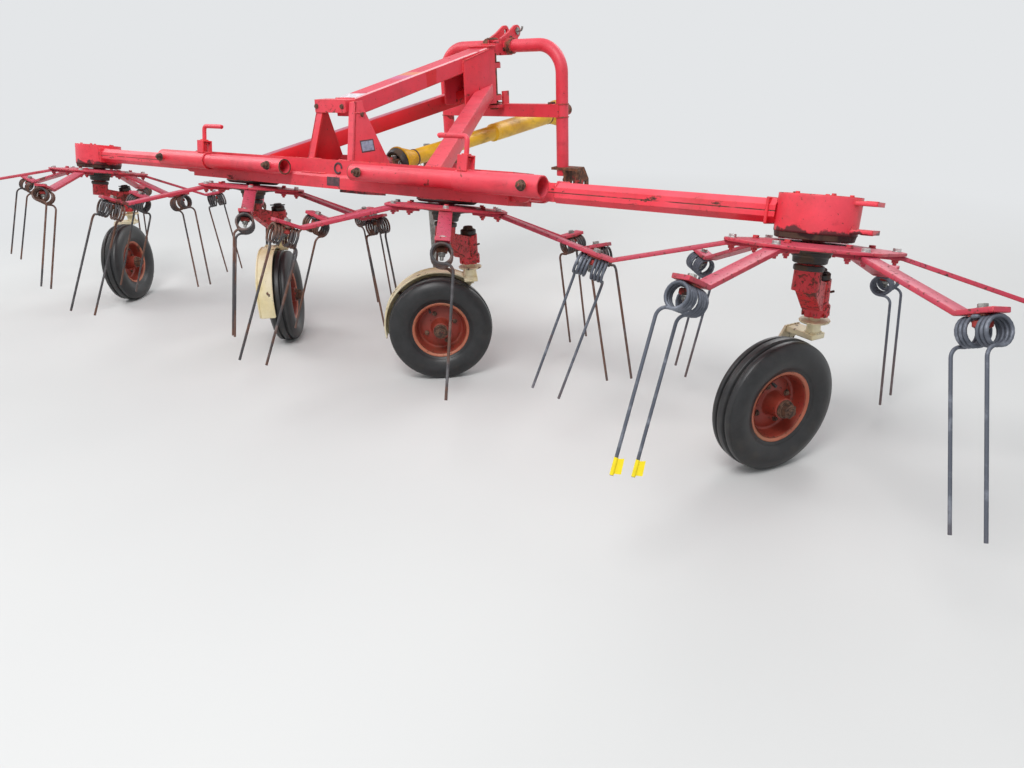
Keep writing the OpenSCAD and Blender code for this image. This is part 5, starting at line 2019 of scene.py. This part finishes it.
@dataclass
class Stand(Group):
    """Spring pin and collars of the parking stand."""

    x: float = -0.500
    y: float = 1.095
    socket: float = 0.700

    def build(self) -> None:
        """Makes the spring pin through the socket and the stand's collars."""
        trim, collars = Form(), Form()
        at = moved(LAYOUT.machine(), self.x - 0.012, self.y, self.socket - 0.03)
        trim.rod(at, 0.0048, (0, -0.038, 0), (0, -0.023, 0), 12, 0.001)
        trim.tube(at, [(p.x, -0.0345, p.y - 0.012) for p in circle(0.012, 25, step=15)], 0.0016, 8)
        trim.piece("stand_pin", self.paints.bolt, "headstock", "rusty_steel")
        for z in (0.06, 0.755):
            ring = mm((16.8, -4), (18.2, -3), (18.2, 3), (16.8, 4))
            collars.lathe(moved(LAYOUT.machine(), self.x, self.y, z), ring, 32, True)
        collars.piece("stand_collars", self.paints.zinc, "stand", "galvanised")


# Dressing, stage and camera

DRESSING = {
    "red": (
        "centre_beam", "strut_tube_left", "strut_tube_right", "hoop", "cross_member", "front_post",
        "top_link_bracket",
    ),
    "wing": ("wing_arm_left", "wing_arm_right"),
    "drum": ("housing_outer_left", "housing_outer_right"),
    "leg": ("leg_inner_left", "leg_inner_right", "leg_outer_left", "leg_outer_right"),
    "gear": ("gearbox", "housing_inner_left", "housing_inner_right"),
    "rusty": ("swivel_pin", "link_bracket_left", "link_bracket_right", "drive_shaft"),
    "zinc": ("parking_stand",),
}


def dress(paints: Paints) -> None:
    """Gives every CAD node that stays its finish."""
    for finish, names in DRESSING.items():
        for name in names:
            for slot in bpy.data.objects[name].material_slots:
                slot.material = getattr(paints, finish)
            log.info("%s gets %s", name, finish)


def seen_rays(tree: NodeTree) -> Socket:
    """One for the rays that the camera sees, straight or through a mirror or glass."""
    path = tree.nodes.new("ShaderNodeLightPath")
    rays = [Socket(tree, path.outputs[name]) for name in ("Is Camera Ray", "Is Glossy Ray", "Is Transmission Ray")]
    return (rays[0] + rays[1] + rays[2]).clamped()


@dataclass
class Stage:
    """Pale floor, soft light and the camera at the photograph's angle."""

    eye: Triple = (2.4443, -2.6224, 1.2110)
    focal: float = 781.0
    sensor: float = 36.0
    width: float = 1024
    yaw: float = 36.6
    pitch: float = 23.2
    roll: float = -2.2
    floor_half: float = 40.0
    pale: Colour = rgb(228, 230, 232)
    fade: tuple[float, float] = (2.6, 5.2)
    sky: tuple[float, ...] = (0.93, 0.96, 1.0, 1.0)
    glow: float = 0.62

    def build(self) -> None:
        """Makes everything round the machine."""
        self.floor()
        self.light()
        self.camera()
        bpy.context.scene.view_settings.view_transform = "Standard"

    def floor(self) -> None:
        """Makes the floor, which fades to the pale tone of what lies behind it."""
        h = self.floor_half
        mesh = bpy.data.meshes.new("floor")
        mesh.from_pydata([(-h, -h, 0), (h, -h, 0), (h, h, 0), (-h, h, 0)], [], [(0, 1, 2, 3)])
        brush = Brush("pale_floor")
        tone = brush.blend(brush.noise(0.9, 3.0, 0.5), rgb(203, 203, 202), rgb(208, 208, 206))
        mesh.materials.append(brush.finish(base_color=tone, roughness=0.9, specular_ior_level=0.2))
        glow = brush.node("ShaderNodeEmission", inputs={"Color": (*self.pale, 1.0)})
        away = brush.node("ShaderNodeVectorMath", {"operation": "LENGTH"}, {0: brush.place}, "Value").over(*self.fade)
        inputs = {0: away * seen_rays(brush.tree), 1: brush.shader.outputs[0], 2: glow}
        fill(brush.tree, brush.out, {"Surface": brush.node("ShaderNodeMixShader", inputs=inputs)})
        link("floor", mesh)

    def light(self) -> None:
        """Makes the world and the lamps."""
        world = bpy.data.worlds.new("studio")
        world.use_nodes = True
        tree = world.node_tree
        ground = fill(tree, tree.nodes["Background"], {"Color": self.sky, "Strength": self.glow})
        back = add_node(tree, "ShaderNodeBackground", inputs={"Color": (*self.pale, 1.0)})
        inputs = {0: seen_rays(tree), 1: ground.outputs[0], 2: back.outputs[0]}
        mix = add_node(tree, "ShaderNodeMixShader", inputs=inputs)
        fill(tree, tree.nodes["World Output"], {"Surface": mix.outputs[0]})
        bpy.context.scene.world = world
        for name, spot, target, size, power in (
            ("key", (1.8, -3.4, 4.6), (0.0, -0.3, 0.6), 2.4, 190.0),
            ("fill", (-4.6, -1.2, 4.0), (-0.8, 0.0, 0.6), 3.0, 110.0),
            ("back", (1.0, 4.6, 4.2), (0.0, 0.2, 0.8), 3.0, 110.0),
        ):
            data = bpy.data.lights.new(name, "AREA")
            data.shape, data.size, data.energy = "DISK", size, power
            lamp = link(name, data)
            lamp.location = spot
            lamp.rotation_euler = (Vector(target) - Vector(spot)).to_track_quat("-Z", "Y").to_euler()

    def camera(self) -> None:
        """Makes the camera."""
        data = bpy.data.cameras.new("camera")
        data.sensor_fit = "HORIZONTAL"
        data.sensor_width = self.sensor
        data.lens = self.focal * self.sensor / self.width
        data.clip_end = 200.0
        yaw, pitch, roll = (math.radians(a) for a in (self.yaw, self.pitch, self.roll))
        ahead = Vector((-math.sin(yaw) * math.cos(pitch), math.cos(yaw) * math.cos(pitch), -math.sin(pitch)))
        level = Vector((math.cos(yaw), math.sin(yaw), 0))
        over = level.cross(ahead)
        right = level * math.cos(roll) + over * math.sin(roll)
        up = over * math.cos(roll) - level * math.sin(roll)
        piece = link("camera", data)
        piece.matrix_world = Matrix.Translation(self.eye) @ Matrix((right, up, -ahead)).transposed().to_4x4()
        bpy.context.scene.camera = piece


def main() -> None:
    """Builds the whole scene in order."""
    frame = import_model()
    log.info("frame with %d nodes", len(frame["nodes"]))
    Stage().build()
    paints = Paints()
    dress(paints)
    for site in SITES:
        for kind in (Rotor, Tines, Wheel, Castor, Leg):
            kind(paints, site).build()
    Beam(paints).build()
    Tower(paints).build()
    for side in Side:
        Wing(paints, side).build()
    for kind in (Gearboxes, Headstock, Drive, Stand):
        kind(paints).build()
    log.info("sizes written")


if __name__ == "__main__":
    main()
